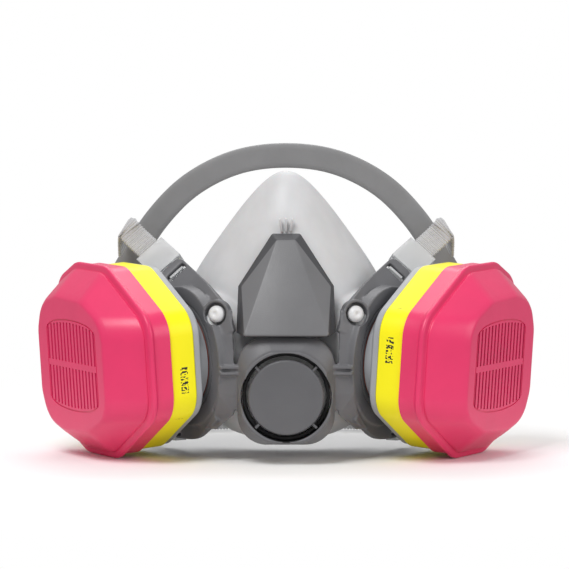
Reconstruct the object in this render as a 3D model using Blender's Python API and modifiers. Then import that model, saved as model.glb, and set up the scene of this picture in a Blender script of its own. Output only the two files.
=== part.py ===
"""Half-mask respirator with two bayonet cartridges and a head harness.

Metres, +Z up. The front of the mask faces -Y, and left and right are those of a viewer who
faces it. The mask stands on the lower rims of both cartridges, with its neck straps lying on the
ground behind it. Each cartridge is built in the frame of its port, whose z axis points out of
the mask and whose x axis points to the front, so both sides share one mesh.
"""

import math

import bmesh
import bpy
from mathutils import Matrix, Vector

MM = 0.001
MERGE = 0.00005
GAP = 0.0003

# Ports and cartridges
PORT_SWEEP = math.radians(60)
PORT_DROP = math.radians(4)
PORT_X = 0.044
PORT_Y = -0.012
PORT_RADIUS = 0.0234
POD_RADIUS = 0.027
HUB_RADIUS = 0.0094
LUG_RADIUS = 0.012
LUG_COUNT = 3
BASE_TOP = 0.0081
BAND_TOP = 0.0201
LIP_TOP = 0.031
COVER_TOP = 0.046
WALL = 0.0016
RIM_HALF_HEIGHT = 0.042
OUTLINE_CENTRE = Vector((-0.017, 0.0))
RIM_CORNERS = [(0.0275, 0.021), (-0.009, 0.042), (-0.037, 0.042), (-0.054, 0.034), (-0.061, 0.017)]
TOP_CORNERS = [(0.013, 0.020), (-0.006, 0.029), (-0.030, 0.030), (-0.044, 0.026), (-0.0485, 0.014)]
CORNER_RADIUS = 0.0085
CORNER_STEPS = 3
PORT_Z = RIM_HALF_HEIGHT * math.cos(PORT_DROP) + LIP_TOP * math.sin(PORT_DROP)

# Grille in the top of each filter cover
SLIT_COLUMNS = 15
SLIT_PITCH = 0.003
SLIT_WIDTH = 0.0012
GRILLE_CENTRE_X = -0.0165
GRILLE_HALF_HEIGHT = 0.0185
GRILLE_BAR = 0.0026

# Exhalation valve
VALVE_Z = 0.0294
HOUSING_HALF = 0.0208
HOUSING_TOP = 0.0549
HOUSING_FOOT = 0.0086
HOUSING_FRONT = -0.0435
HOUSING_BACK = -0.0305
HOUSING_BORE = 0.0191
DISC_RADIUS = 0.0162

# Harness
ARM_WIDTH = 0.012
ARM_THICKNESS = 0.003
STRAP_THICKNESS = 0.0018
SLOT_DEPTH = 0.0028
SLOT_LENGTH = 0.0090
SLOT_FROM_END = 0.0056


def clear_scene():
    """Empty the scene and make one collection for the object and one for the cutters."""
    for item in list(bpy.data.objects):
        bpy.data.objects.remove(item, do_unlink=True)
    parts = bpy.data.collections.new("respirator")
    tools = bpy.data.collections.new("cutters")
    bpy.context.scene.collection.children.link(parts)
    bpy.context.scene.collection.children.link(tools)
    return parts, tools


PARTS, TOOLS = clear_scene()


def material(name, colour, roughness, metallic=0.0, alpha=1.0):
    """A plain Principled material."""
    result = bpy.data.materials.new(name)
    result.use_nodes = True
    shader = result.node_tree.nodes["Principled BSDF"]
    shader.inputs["Base Color"].default_value = (*colour, 1.0)
    shader.inputs["Roughness"].default_value = roughness
    shader.inputs["Metallic"].default_value = metallic
    shader.inputs["Alpha"].default_value = alpha
    return result


ELASTOMER = material("pale_elastomer", (0.58, 0.58, 0.59), 0.55)
DARK_PLASTIC = material("dark_grey_plastic", (0.15, 0.15, 0.16), 0.45)
PALE_PLASTIC = material("pale_plastic", (0.72, 0.72, 0.73), 0.4)
MAGENTA_PLASTIC = material("magenta_plastic", (0.80, 0.06, 0.20), 0.4)
YELLOW_BAND = material("yellow_band", (0.95, 0.88, 0.02), 0.5)
CLEAR_PLASTIC = material("clear_plastic", (0.85, 0.86, 0.87), 0.1, alpha=0.4)
WEBBING = material("grey_webbing", (0.45, 0.45, 0.46), 0.9)
RED_RUBBER = material("red_brown_rubber", (0.35, 0.09, 0.06), 0.6)
VALVE_RUBBER = material("valve_rubber", (0.62, 0.60, 0.52), 0.5)
SORBENT = material("sorbent_block", (0.03, 0.03, 0.03), 0.95)
FILTER_PAD = material("filter_pad", (0.85, 0.35, 0.50), 0.95)


def mm(x, y, z):
    """A point given in millimetres."""
    return Vector((x * MM, y * MM, z * MM))


def mirrored(point, side):
    """The point itself on the right (side 1), and its mirror image on the left (side -1)."""
    return Vector((point.x * side, point.y, point.z))


def add_object(name, mesh, finish=None, collection=None):
    """Link a mesh as an object: a part with its finish, or a cutter without one."""
    item = bpy.data.objects.new(name, mesh)
    target = collection or PARTS
    target.objects.link(item)
    if finish:
        mesh.materials.clear()
        mesh.materials.append(finish)
    if target is TOOLS:
        item.hide_render = True
        item.display_type = "WIRE"
    return item


def finished(bm, name):
    """Turn a bmesh into a mesh with its faces pointing out."""
    bmesh.ops.remove_doubles(bm, verts=bm.verts, dist=MERGE)
    bmesh.ops.recalc_face_normals(bm, faces=bm.faces)
    mesh = bpy.data.meshes.new(name)
    bm.to_mesh(mesh)
    bm.free()
    return mesh


def loft(name, rings, hollow=False, capped=True):
    """Skin closed rings of equal point counts; a hollow one joins its last ring to its first."""
    bm = bmesh.new()
    loops = [[bm.verts.new(point) for point in ring] for ring in rings]
    following = loops[1:] + loops[:1] if hollow else loops[1:]
    for lower, upper in zip(loops, following):
        for index in range(len(lower)):
            after = (index + 1) % len(lower)
            bm.faces.new((lower[index], lower[after], upper[after], upper[index]))
    if capped and not hollow:
        bm.faces.new(list(reversed(loops[0])))
        bm.faces.new(loops[-1])
    return finished(bm, name)


def turned(name, profile, steps=28):
    """Revolve a closed (radius, height) profile about z; it runs down its outer side."""
    bm = bmesh.new()
    points = [bm.verts.new((radius, 0.0, height)) for radius, height in profile]
    for index, point in enumerate(points):
        if index or profile[0][0] > 0:
            bm.edges.new((points[index - 1], point))
    mesh = bpy.data.meshes.new(name)
    bm.to_mesh(mesh)
    bm.free()
    shape = bpy.data.objects.new(name + "_profile", mesh)
    TOOLS.objects.link(shape)
    screw = shape.modifiers.new("turn", "SCREW")
    screw.steps = steps
    screw.render_steps = steps
    screw.use_merge_vertices = True
    screw.merge_threshold = MERGE
    return baked(shape, name)


def baked(shape, name):
    """The evaluated mesh of an object, which is then removed."""
    graph = bpy.context.evaluated_depsgraph_get()
    mesh = bpy.data.meshes.new_from_object(shape.evaluated_get(graph))
    mesh.name = name
    mesh.transform(shape.matrix_world)
    bpy.data.objects.remove(shape, do_unlink=True)
    bm = bmesh.new()
    bm.from_mesh(mesh)
    bmesh.ops.remove_doubles(bm, verts=bm.verts, dist=MERGE)
    bmesh.ops.recalc_face_normals(bm, faces=bm.faces)
    bm.to_mesh(mesh)
    bm.free()
    return mesh


def box(name, size, place=None):
    """A box of the given size, moved by a matrix."""
    bm = bmesh.new()
    bmesh.ops.create_cube(bm, size=1.0)
    bmesh.ops.scale(bm, vec=size, verts=bm.verts)
    mesh = finished(bm, name)
    if place:
        mesh.transform(place)
    return mesh


def cylinder(name, radius, bottom, top, place=None, sides=32):
    """A cylinder about z from bottom to top, moved by a matrix."""
    bm = bmesh.new()
    bmesh.ops.create_cone(
        bm, cap_ends=True, segments=sides, radius1=radius, radius2=radius, depth=top - bottom
    )
    bmesh.ops.translate(bm, vec=(0, 0, (top + bottom) / 2), verts=bm.verts)
    mesh = finished(bm, name)
    if place:
        mesh.transform(place)
    return mesh


def combine(base, mesh, operation):
    """Join a mesh to a mesh, or cut it away, and return the result."""
    body = add_object("body", base, collection=TOOLS)
    tool = add_object("tool", mesh, collection=TOOLS)
    step = body.modifiers.new("combine", "BOOLEAN")
    step.operation = operation
    step.solver = "EXACT"
    step.object = tool
    result = baked(body, base.name)
    bpy.data.objects.remove(tool, do_unlink=True)
    return result


def join(base, *meshes):
    for mesh in meshes:
        base = combine(base, mesh, "UNION")
    return base


def cut(base, *meshes):
    for mesh in meshes:
        base = combine(base, mesh, "DIFFERENCE")
    return base


def smooth_round(item, angle=35):
    """Shade the round faces smooth and keep the edges sharp."""
    item.data.shade_smooth()
    item.data.set_sharp_from_angle(angle=math.radians(angle))


def port_frame(side):
    """Frame of a port: x to the front, z out of the mask along the bayonet's axis."""
    out = Vector((
        side * math.sin(PORT_SWEEP) * math.cos(PORT_DROP),
        -math.cos(PORT_SWEEP) * math.cos(PORT_DROP),
        -math.sin(PORT_DROP),
    ))
    front = Vector((-side * math.cos(PORT_SWEEP), -math.sin(PORT_SWEEP), 0.0))
    frame = Matrix((front, out.cross(front), out)).transposed().to_4x4()
    frame.translation = Vector((side * PORT_X, PORT_Y, PORT_Z))
    return frame


def valve_frame():
    """Frame of the exhalation valve: z out of the mask, towards -Y."""
    frame = Matrix.Rotation(math.radians(90), 4, "X")
    frame.translation = Vector((0.0, 0.0, VALVE_Z))
    return frame


def axis_empty(name, matrix):
    """An empty on a joint's axis, which the moving pieces are parented to."""
    pivot = bpy.data.objects.new(name, None)
    PARTS.objects.link(pivot)
    pivot.matrix_world = matrix
    return pivot


def rounded_outline(corners, radius, steps=CORNER_STEPS):
    """Points round a convex outline, anticlockwise, whose corners are arcs of one radius."""
    points = []
    for index, corner in enumerate(corners):
        before = (corners[index - 1] - corner).normalized()
        after = (corners[(index + 1) % len(corners)] - corner).normalized()
        half = before.angle(after) / 2
        centre = corner + (before + after).normalized() * radius / math.sin(half)
        start = corner + before * radius / math.tan(half) - centre
        start_angle = math.atan2(start.y, start.x)
        for step in range(steps + 1):
            angle = start_angle + (math.pi - 2 * half) * step / steps
            points.append(centre + radius * Vector((math.cos(angle), math.sin(angle))))
    return points


def cartridge_ring(height, inset, towards_top=0.0):
    """The cartridge's outline at a height, between its rim (0) and its flat top (1)."""
    half = [
        Vector(rim).lerp(Vector(top), towards_top) for rim, top in zip(RIM_CORNERS, TOP_CORNERS)
    ]
    corners = half + [Vector((point.x, -point.y)) for point in reversed(half)]
    shrink = 1.0 - inset / RIM_HALF_HEIGHT
    corners = [OUTLINE_CENTRE + (point - OUTLINE_CENTRE) * shrink for point in corners]
    outline = rounded_outline(corners, CORNER_RADIUS * shrink)
    return [Vector((point.x, point.y, height)) for point in outline]


def sweep(name, path, normals, width, thickness):
    """A flat strap of one width along a path, with its face turned along the normals."""
    rings = []
    for index, point in enumerate(path):
        tangent = (path[min(index + 1, len(path) - 1)] - path[max(index - 1, 0)]).normalized()
        across = tangent.cross(normals[index]).normalized() * width / 2
        out = across.cross(tangent).normalized() * thickness / 2
        rings.append([point - across - out, point + across - out, point + across + out,
                      point - across + out])
    return loft(name, rings)


def smooth_path(points, steps):
    """A Catmull-Rom curve through the given points, with steps spans between neighbours."""
    result = []
    last = len(points) - 1
    for index in range(last):
        p0 = points[max(index - 1, 0)]
        p1 = points[index]
        p2 = points[index + 1]
        p3 = points[min(index + 2, last)]
        for step in range(steps):
            t = step / steps
            a = 2 * p1
            b = (p2 - p0) * t
            c = (2 * p0 - 5 * p1 + 4 * p2 - p3) * t * t
            d = (3 * p1 - p0 - 3 * p2 + p3) * t * t * t
            result.append((a + b + c + d) / 2)
    result.append(points[-1].copy())
    return result


# ---------------------------------------------------------------------------------------------
# Facepiece
# ---------------------------------------------------------------------------------------------

# Half rings of the face cup from the bridge of the nose down to the chin, in millimetres.
SEAL_LIP = [(0, 12, 111), (9, 17, 102), (19, 26, 86), (32, 36, 64), (37, 38, 40), (25, 31, 20),
            (0, 20, 16)]
REAR_EDGE = [(0, 8, 127), (15, 14, 116), (29, 25, 97), (46, 37, 70), (52, 40, 38), (36, 32, 12),
             (0, 18, 6)]
CHEEK_RING = [(0, -2, 130), (14, 3, 115), (29, 9, 93), (47, 18, 70), (53, 18, 38), (37, 12, 13),
              (0, 2, 6)]
NOSE_RING = [(0, -11, 112), (12, -11, 99), (23, -10, 85), (34, -12, 68), (36, -11, 38),
             (28, -12, 17), (0, -15, 8)]
FRONT_RING = [(0, -14, 94), (9, -15, 89), (14, -18.5, 75), (18, -25, 58), (18, -27.5, 34),
              (14, -27.5, 18), (0, -27, 12)]
SHELL_WALL = 0.0026
CAVITY_BACK = 0.070


def face_block(name, inward, back):
    """The face cup as a solid block, moved inward by its wall, with a point at its back."""
    bm = bmesh.new()
    loops = []
    for ring in (SEAL_LIP, REAR_EDGE, CHEEK_RING, NOSE_RING, FRONT_RING):
        right = [bm.verts.new(mm(*point)) for point in ring]
        left = [bm.verts.new(mm(-point[0], point[1], point[2])) for point in ring[-2:0:-1]]
        loops.append(right + left)
    for rear, front in zip(loops, loops[1:]):
        for index in range(len(rear)):
            after = (index + 1) % len(rear)
            bm.faces.new((rear[index], rear[after], front[after], front[index]))
    bm.faces.new(loops[-1])
    bmesh.ops.recalc_face_normals(bm, faces=bm.faces)
    mesh = bpy.data.meshes.new(name)
    bm.to_mesh(mesh)
    bm.free()
    cage = bpy.data.objects.new(name, mesh)
    TOOLS.objects.link(cage)
    soften = cage.modifiers.new("soften", "SUBSURF")
    soften.levels = 1
    soften.render_levels = 1
    graph = bpy.context.evaluated_depsgraph_get()
    smooth = bpy.data.meshes.new_from_object(cage.evaluated_get(graph))
    bpy.data.objects.remove(cage, do_unlink=True)
    bm = bmesh.new()
    bm.from_mesh(smooth)
    bmesh.ops.recalc_face_normals(bm, faces=bm.faces)
    if max(bm.faces, key=lambda face: -face.calc_center_median().y).normal.y > 0:
        bmesh.ops.reverse_faces(bm, faces=bm.faces)
    bm.normal_update()
    for vert in bm.verts:
        vert.co -= vert.normal * inward
    edges = [edge for edge in bm.edges if edge.is_boundary]
    tip = bm.verts.new((0.0, back, 0.060))
    for edge in edges:
        bm.faces.new((*edge.verts, tip))
    return finished(bm, name)


def facepiece():
    """The soft cup that seals on the face, with a pod for each port and the valve's hole."""
    shape = face_block("facepiece", 0.0, 0.030)
    for side in (-1, 1):
        shape = join(shape, cylinder("pod", POD_RADIUS, -0.032, -0.0013, port_frame(side)))
    shape = cut(shape, face_block("cavity", SHELL_WALL, CAVITY_BACK))
    for side in (-1, 1):
        bore = cylinder("bore", PORT_RADIUS + GAP, -0.040, 0.010, port_frame(side))
        shape = cut(shape, bore)
    shape = cut(shape, cylinder("valve_hole", 0.0174, 0.010, 0.050, valve_frame()))
    smooth_round(add_object("facepiece", shape, ELASTOMER), 40)


# ---------------------------------------------------------------------------------------------
# Exhalation valve
# ---------------------------------------------------------------------------------------------

SEAT_FRONT = 0.0320


def exhalation_valve():
    """Seat, flap and outer cover of the exhalation valve, all turned about one axis."""
    frame = valve_frame()
    seat = turned("exhalation_seat", [
        (0.0171, SEAT_FRONT), (0.0171, 0.0309), (0.0187, 0.0309), (0.0187, 0.0290),
        (0.0171, 0.0290), (0.0171, 0.0220), (0.0150, 0.0220), (0.0150, SEAT_FRONT),
    ])
    for turn in range(2):
        spoke = box("spoke", (0.0306, 0.0018, 0.0020),
                    Matrix.Rotation(math.radians(90 * turn), 4, "Z")
                    @ Matrix.Translation((0, 0, SEAT_FRONT - 0.0030)))
        seat = join(seat, spoke)
    item = add_object("exhalation_seat", seat, PALE_PLASTIC)
    item.matrix_world = frame
    smooth_round(item)

    pivot = axis_empty("exhalation_flap_axis", frame)
    flap = turned("exhalation_flap", [
        (0.0, 0.0335), (0.0040, 0.0335), (0.0155, 0.0330), (0.0155, 0.0323), (0.0, 0.0323),
    ])
    item = add_object("exhalation_flap", flap, VALVE_RUBBER)
    item.parent = pivot
    smooth_round(item)

    pivot = axis_empty("valve_cover_axis", frame)
    cover = turned("valve_cover", [
        (0.0188, 0.0375), (0.0188, 0.0312), (0.0174, 0.0312), (0.0174, 0.0375),
    ])
    disc = turned("disc", [
        (0.0, 0.0432), (DISC_RADIUS - 0.0006, 0.0432), (DISC_RADIUS, 0.0426),
        (DISC_RADIUS, 0.0408), (0.0, 0.0408),
    ])
    for turn in range(4):
        spoke = box("spoke", (0.0042, 0.0014, 0.0070),
                    Matrix.Rotation(math.radians(45 + 90 * turn), 4, "Z")
                    @ Matrix.Translation((0.0164, 0, 0.0390)))
        disc = join(disc, spoke)
    item = add_object("valve_cover", join(cover, disc), DARK_PLASTIC)
    item.parent = pivot
    smooth_round(item)


def front_plate():
    """The faceted plate over the nose of the yoke: a flat face between two sloping ones."""
    facet_top = (4.0, -21.5, 95.2)
    facet_foot = (18.1, -42.6, 56.0)
    crown = (5.6, -18.0, 96.8)
    shoulder = (19.4, -26.5, 75.3)
    heel = (20.7, -34.6, 56.0)
    skirt = [(6.2, -16.4, 97.8), (20.6, -23.0, 76.0), (21.3, -31.6, 56.0)]
    bm = bmesh.new()
    sides = []
    for side in (1, -1):
        points = (facet_top, facet_foot, crown, shoulder, heel, *skirt)
        sides.append([bm.verts.new(mm(side * x, y, z)) for x, y, z in points])
    right, left = sides
    bm.faces.new((left[0], left[1], right[1], right[0]))
    bm.faces.new((left[0], right[0], right[2], left[2]))
    bm.faces.new((left[2], right[2], right[5], left[5]))
    for top, foot, crown_edge, corner, base, edge1, edge2, edge3 in sides:
        bm.faces.new((top, crown_edge, corner))
        bm.faces.new((top, corner, foot))
        bm.faces.new((foot, corner, base))
        bm.faces.new((crown_edge, edge1, edge2, corner))
        bm.faces.new((corner, edge2, edge3, base))
    bmesh.ops.recalc_face_normals(bm, faces=bm.faces)
    if min(bm.faces, key=lambda face: face.calc_center_median().y).normal.y > 0:
        bmesh.ops.reverse_faces(bm, faces=bm.faces)
    mesh = bpy.data.meshes.new("front_plate")
    bm.to_mesh(mesh)
    bm.free()
    item = add_object("front_plate", mesh, DARK_PLASTIC)
    wall = item.modifiers.new("wall", "SOLIDIFY")
    wall.thickness = 0.0018
    wall.offset = -1
    wall.use_even_offset = True


# ---------------------------------------------------------------------------------------------
# Harness yoke
# ---------------------------------------------------------------------------------------------

# Middle lines of the arms with the direction that each point's face turns to, in millimetres.
UPPER_ARM = [(27.0, -33.5, 55.0), (29.5, -30.5, 64.0), (38.5, -10.5, 72.0), (50.5, 3.0, 81.5)]
UPPER_ARM_FACE = [(0.35, -0.93, 0.0), (0.40, -0.90, 0.1), (0.38, -0.85, 0.35), (0.30, -0.76, 0.57)]
LOWER_ARM = [(30.6, -28.3, 23.5), (39.0, -10.5, 13.6), (48.0, 7.5, 12.2)]
LOWER_ARM_FACE = [(0.7, -0.7, 0.0), (0.85, -0.53, 0.0), (0.87, -0.50, 0.0)]
# Wing between the valve housing and a port rim: height, then inner and outer edge, millimetres.
WING = [(66.0, (23.0, -33.0), (34.0, -27.5)), (55.0, (22.6, -35.2), (31.0, -33.2)),
        (43.5, (22.4, -36.4), (29.0, -35.4)), (42.5, (20.0, -36.6), (29.0, -35.4)),
        (30.0, (20.0, -36.2), (29.0, -34.2)), (21.0, (22.5, -33.5), (31.0, -29.0)),
        (14.0, (30.0, -28.0), (35.0, -21.5))]
WING_THICKNESS = 0.0024
RIM_RADIUS = 0.0303
STUD_PLACE = (29.8, -31.2, 64.2)
STUD_FACE = (0.40, -0.90, 0.10)


def facing(place, normal):
    """A frame at a place whose z axis is the given normal."""
    frame = Vector(normal).normalized().to_track_quat("Z", "Y").to_matrix().to_4x4()
    frame.translation = place
    return frame


def arm_frame(path, face, side, back_from_end):
    """Frame on an arm near its end: x along the arm, z out of its face."""
    end = mirrored(mm(*path[-1]), side)
    along = (end - mirrored(mm(*path[-2]), side)).normalized()
    across = mirrored(Vector(face[-1]), side).cross(along).normalized()
    frame = Matrix((along, across, along.cross(across))).transposed().to_4x4()
    frame.translation = end - along * back_from_end
    return frame


def yoke_arm(path, face, side):
    """One arm of the yoke, with a rounded end and the slot for a buckle's hook."""
    points = [mirrored(mm(*point), side) for point in path]
    normals = [mirrored(Vector(normal), side) for normal in face]
    arm = sweep("arm", points, normals, ARM_WIDTH, ARM_THICKNESS)
    slot = box("slot", (SLOT_DEPTH, SLOT_LENGTH, 0.012), arm_frame(path, face, side, SLOT_FROM_END))
    for edge in (-1, 1):
        chamfer = box("chamfer", (0.006, 0.006, 0.012),
                      arm_frame(path, face, side, 0.0)
                      @ Matrix.Translation((0, edge * ARM_WIDTH / 2, 0))
                      @ Matrix.Rotation(math.radians(45), 4, "Z"))
        arm = cut(arm, chamfer)
    return cut(arm, slot)


def yoke_wing(side):
    """The sheet between the housing and a port rim, whose upper part stands clear as a slot."""
    rings = []
    half = Vector((0, WING_THICKNESS / 2, 0))
    for height, inner, outer in WING:
        near = mirrored(mm(*inner, height), side)
        far = mirrored(mm(*outer, height), side)
        rings.append([near - half, far - half, far + half, near + half])
    return loft("wing", rings)


def valve_housing():
    """The hood round the valve: squarish where it meets the plate, round at its front ring."""
    half_height = (HOUSING_TOP - HOUSING_FOOT) / 2
    corners = [Vector((x * HOUSING_HALF, y * half_height))
               for x, y in ((1, 1), (-1, 1), (-1, -1), (1, -1))]
    centre = Vector((0.0, HOUSING_FOOT + half_height - VALVE_Z))
    square = [point + centre for point in rounded_outline(corners, 0.0125, 6)]
    rings = [[Vector((*point, depth)) for point in square] for depth in (-HOUSING_BACK, 0.0375)]
    for depth, radius in ((0.0424, 0.0209), (-HOUSING_FRONT, 0.0203)):
        rings.append([Vector((*(point.normalized() * radius), depth)) for point in square])
    return loft("housing", rings)


def harness_yoke():
    """The rigid yoke: valve housing, spine, port rims and four harness arms in one moulding."""
    frame = valve_frame()
    shape = valve_housing()
    shape.transform(frame)
    spine = sweep("spine", [mm(0, -31.6, 52), mm(0, -27.4, 68), mm(0, -24.2, 79)],
                  [Vector((0, -1, 0))] * 3, 0.014, 0.002)
    shape = join(shape, spine)
    for side in (-1, 1):
        rim = cylinder("rim", RIM_RADIUS, -0.0055, -0.0013, port_frame(side), 48)
        ribs = [box("rib", (0.0075, 0.0014, 0.0012),
                    Matrix.Translation((side * 0.0243, -0.0378, height)))
                for height in (0.0392, 0.0418)]
        boss = cylinder("boss", 0.0062, -0.0030, 0.0012,
                        facing(mirrored(mm(*STUD_PLACE), side), mirrored(Vector(STUD_FACE), side)),
                        24)
        shape = join(shape, rim, yoke_wing(side), yoke_arm(UPPER_ARM, UPPER_ARM_FACE, side),
                     boss, yoke_arm(LOWER_ARM, LOWER_ARM_FACE, side), *ribs)
        shape = cut(shape, cylinder("recess", 0.0050, -0.0016, 0.004, facing(
            mirrored(mm(*STUD_PLACE), side), mirrored(Vector(STUD_FACE), side)), 24))
        shape = cut(shape, cylinder("pod_space", POD_RADIUS + GAP, -0.030, 0.004,
                                    port_frame(side), 48))
    shape = cut(shape, cylinder("valve_bore", HOUSING_BORE, 0.020, 0.060, frame))
    smooth_round(add_object("harness_yoke", shape, DARK_PLASTIC))


def yoke_stud(side):
    """The pale stud that pins the yoke to the facepiece."""
    name = "yoke_stud_" + side_name(side)
    stud = turned(name, [
        (0.0, 0.0022), (0.0022, 0.0019), (0.0036, 0.0004), (0.0036, -0.0013), (0.0, -0.0013),
    ], 24)
    item = add_object(name, stud, PALE_PLASTIC)
    item.matrix_world = facing(mirrored(mm(*STUD_PLACE), side), mirrored(Vector(STUD_FACE), side))
    smooth_round(item)


def side_name(side):
    return "right" if side > 0 else "left"


# ---------------------------------------------------------------------------------------------
# Ports
# ---------------------------------------------------------------------------------------------


def port_meshes():
    """The bayonet port, its gasket and its inhalation flap, each shared by both sides."""
    port = turned("inhalation_port", [
        (PORT_RADIUS, -0.0003), (PORT_RADIUS, -0.0098), (0.0220, -0.0108), (0.0212, -0.0108),
        (0.0212, -0.0045), (0.0074, -0.0045), (0.0074, 0.0056),
        (HUB_RADIUS, 0.0056), (HUB_RADIUS, -0.0026), (0.0212, -0.0026), (0.0212, -0.0003),
    ])
    for turn in range(LUG_COUNT):
        lug = box("lug", (0.0034, 0.0070, 0.0026),
                  Matrix.Rotation(math.radians(60 + 120 * turn), 4, "Z")
                  @ Matrix.Translation((LUG_RADIUS - 0.0017, 0, 0.0041)))
        port = join(port, lug)
    gasket = turned("port_gasket", [
        (0.0208, -0.0004), (0.0208, -0.0023), (0.0128, -0.0023), (0.0128, -0.0004),
        (0.0148, 0.0), (0.0188, 0.0),
    ])
    flap = turned("inhalation_flap", [
        (0.0, -0.0049), (0.0115, -0.0049), (0.0115, -0.0056), (0.0030, -0.0064), (0.0, -0.0064),
    ], 32)
    return port, gasket, flap


def ports():
    port, gasket, flap = port_meshes()
    for side in (-1, 1):
        frame = port_frame(side)
        item = add_object("inhalation_port_" + side_name(side), port, PALE_PLASTIC)
        item.matrix_world = frame
        smooth_round(item)
        item = add_object("port_gasket_" + side_name(side), gasket, RED_RUBBER)
        item.matrix_world = frame
        smooth_round(item)
        item = add_object("inhalation_flap_" + side_name(side), flap, VALVE_RUBBER)
        item.parent = axis_empty("inhalation_flap_axis_" + side_name(side), frame)
        smooth_round(item)


# ---------------------------------------------------------------------------------------------
# Cartridges
# ---------------------------------------------------------------------------------------------


def cartridge_base():
    """The grey foot of a cartridge with the keyed socket for the bayonet."""
    foot = loft("cartridge_base", [
        cartridge_ring(GAP, 0.0125), cartridge_ring(0.0030, 0.0060), cartridge_ring(0.0052, 0.0030),
        cartridge_ring(BASE_TOP, 0.0030),
    ])
    room = loft("room", [
        cartridge_ring(0.0025, 0.0140), cartridge_ring(0.0045, 0.0070),
        cartridge_ring(BASE_TOP + 0.001, 0.0052),
    ])
    socket = cylinder("socket", HUB_RADIUS + 2 * GAP, -0.002, 0.006)
    for turn in range(LUG_COUNT):
        notch = box("notch", (0.0080, 0.0078, 0.006),
                    Matrix.Rotation(math.radians(20 + 120 * turn), 4, "Z")
                    @ Matrix.Translation((LUG_RADIUS - 0.0034, 0, 0.0)))
        socket = join(socket, notch)
    return cut(foot, room, socket)


def cartridge_band():
    """The labelled band round a cartridge, a plain ring that follows its outline."""
    foot = BASE_TOP + GAP
    outer = 0.0024
    inner = outer + WALL
    return loft("cartridge_band", [
        cartridge_ring(foot, outer), cartridge_ring(BAND_TOP, outer),
        cartridge_ring(BAND_TOP, inner), cartridge_ring(foot, inner),
    ], hollow=True)


def slit_length(offset):
    """Height of the arched grille above its bar, at an offset from its middle."""
    reach = SLIT_PITCH * SLIT_COLUMNS / 2
    return GRILLE_HALF_HEIGHT * (1.0 - 0.13 * (offset / reach) ** 2) - GRILLE_BAR / 2


def grille_slits():
    """Two rows of slits that follow an arched outline, above and below a middle bar."""
    bm = bmesh.new()
    for column in range(SLIT_COLUMNS):
        offset = (column - (SLIT_COLUMNS - 1) / 2) * SLIT_PITCH
        length = slit_length(offset)
        for row in (-1, 1):
            middle = Vector((GRILLE_CENTRE_X + offset, row * (GRILLE_BAR + length) / 2, COVER_TOP))
            made = bmesh.ops.create_cube(bm, size=1.0)["verts"]
            bmesh.ops.scale(bm, vec=(SLIT_WIDTH, length, 0.006), verts=made)
            bmesh.ops.translate(bm, vec=middle, verts=made)
    mesh = bpy.data.meshes.new("slits")
    bm.to_mesh(mesh)
    bm.free()
    return mesh


def filter_cover():
    """The domed cover: a lofted shell from its lipped rim to a flat top with the grille."""
    outer = [(0.0204, 0.0014, 0.0), (0.0284, 0.0014, 0.0), (0.0290, 0.0, 0.0),
             (LIP_TOP, 0.0, 0.0), (0.0319, 0.0024, 0.02), (0.0442, 0.0, 0.94),
             (0.0456, 0.0008, 1.0), (COVER_TOP, 0.0020, 1.0)]
    rings = [cartridge_ring(*station) for station in outer]
    inner = [(COVER_TOP - WALL, 0.0036, 1.0), (0.0434, 0.0018, 0.94),
             (0.0312, 0.0040, 0.02), (0.0284, 0.0031, 0.0), (0.0204, 0.0031, 0.0)]
    rings += [cartridge_ring(*station) for station in inner]
    bm = bmesh.new()
    loops = [[bm.verts.new(point) for point in ring] for ring in rings]
    top = len(outer) - 1
    for index, (lower, upper) in enumerate(zip(loops, loops[1:] + loops[:1])):
        if index == top:
            continue
        for here in range(len(lower)):
            after = (here + 1) % len(lower)
            bm.faces.new((lower[here], lower[after], upper[after], upper[here]))
    bm.faces.new(loops[top])
    bm.faces.new(list(reversed(loops[top + 1])))
    return cut(finished(bm, "filter_cover"), grille_slits())


def cartridges():
    """Both cartridges, whose pieces hang on an empty on the bayonet's axis."""
    bed = loft("sorbent_bed", [cartridge_ring(0.0087, 0.0046), cartridge_ring(0.0196, 0.0046)])
    pad = loft("filter_pad", [cartridge_ring(0.0202, 0.0040), cartridge_ring(0.0272, 0.0040)])
    pieces = (
        ("cartridge_base", cartridge_base(), PALE_PLASTIC),
        ("cartridge_band", cartridge_band(), YELLOW_BAND),
        ("sorbent_bed", bed, SORBENT),
        ("filter_pad", pad, FILTER_PAD),
        ("filter_cover", filter_cover(), MAGENTA_PLASTIC),
    )
    for side in (-1, 1):
        pivot = axis_empty("cartridge_axis_" + side_name(side), port_frame(side))
        for name, mesh, finish in pieces:
            item = add_object(name + "_" + side_name(side), mesh, finish)
            item.parent = pivot
            smooth_round(item, 30)


# ---------------------------------------------------------------------------------------------
# Straps, buckles and cradle
# ---------------------------------------------------------------------------------------------

BUCKLE_WIDTH = 0.0146
BUCKLE_START = 0.0078
BUCKLE_END = 0.0220
BUCKLE_BACK = -0.0056
BUCKLE_FRONT = -0.0004
BUCKLE_WALL = 0.0013


def block(name, low, high):
    """A box between two corners."""
    low = Vector(low)
    high = Vector(high)
    return box(name, high - low, Matrix.Translation((low + high) / 2))


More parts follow.
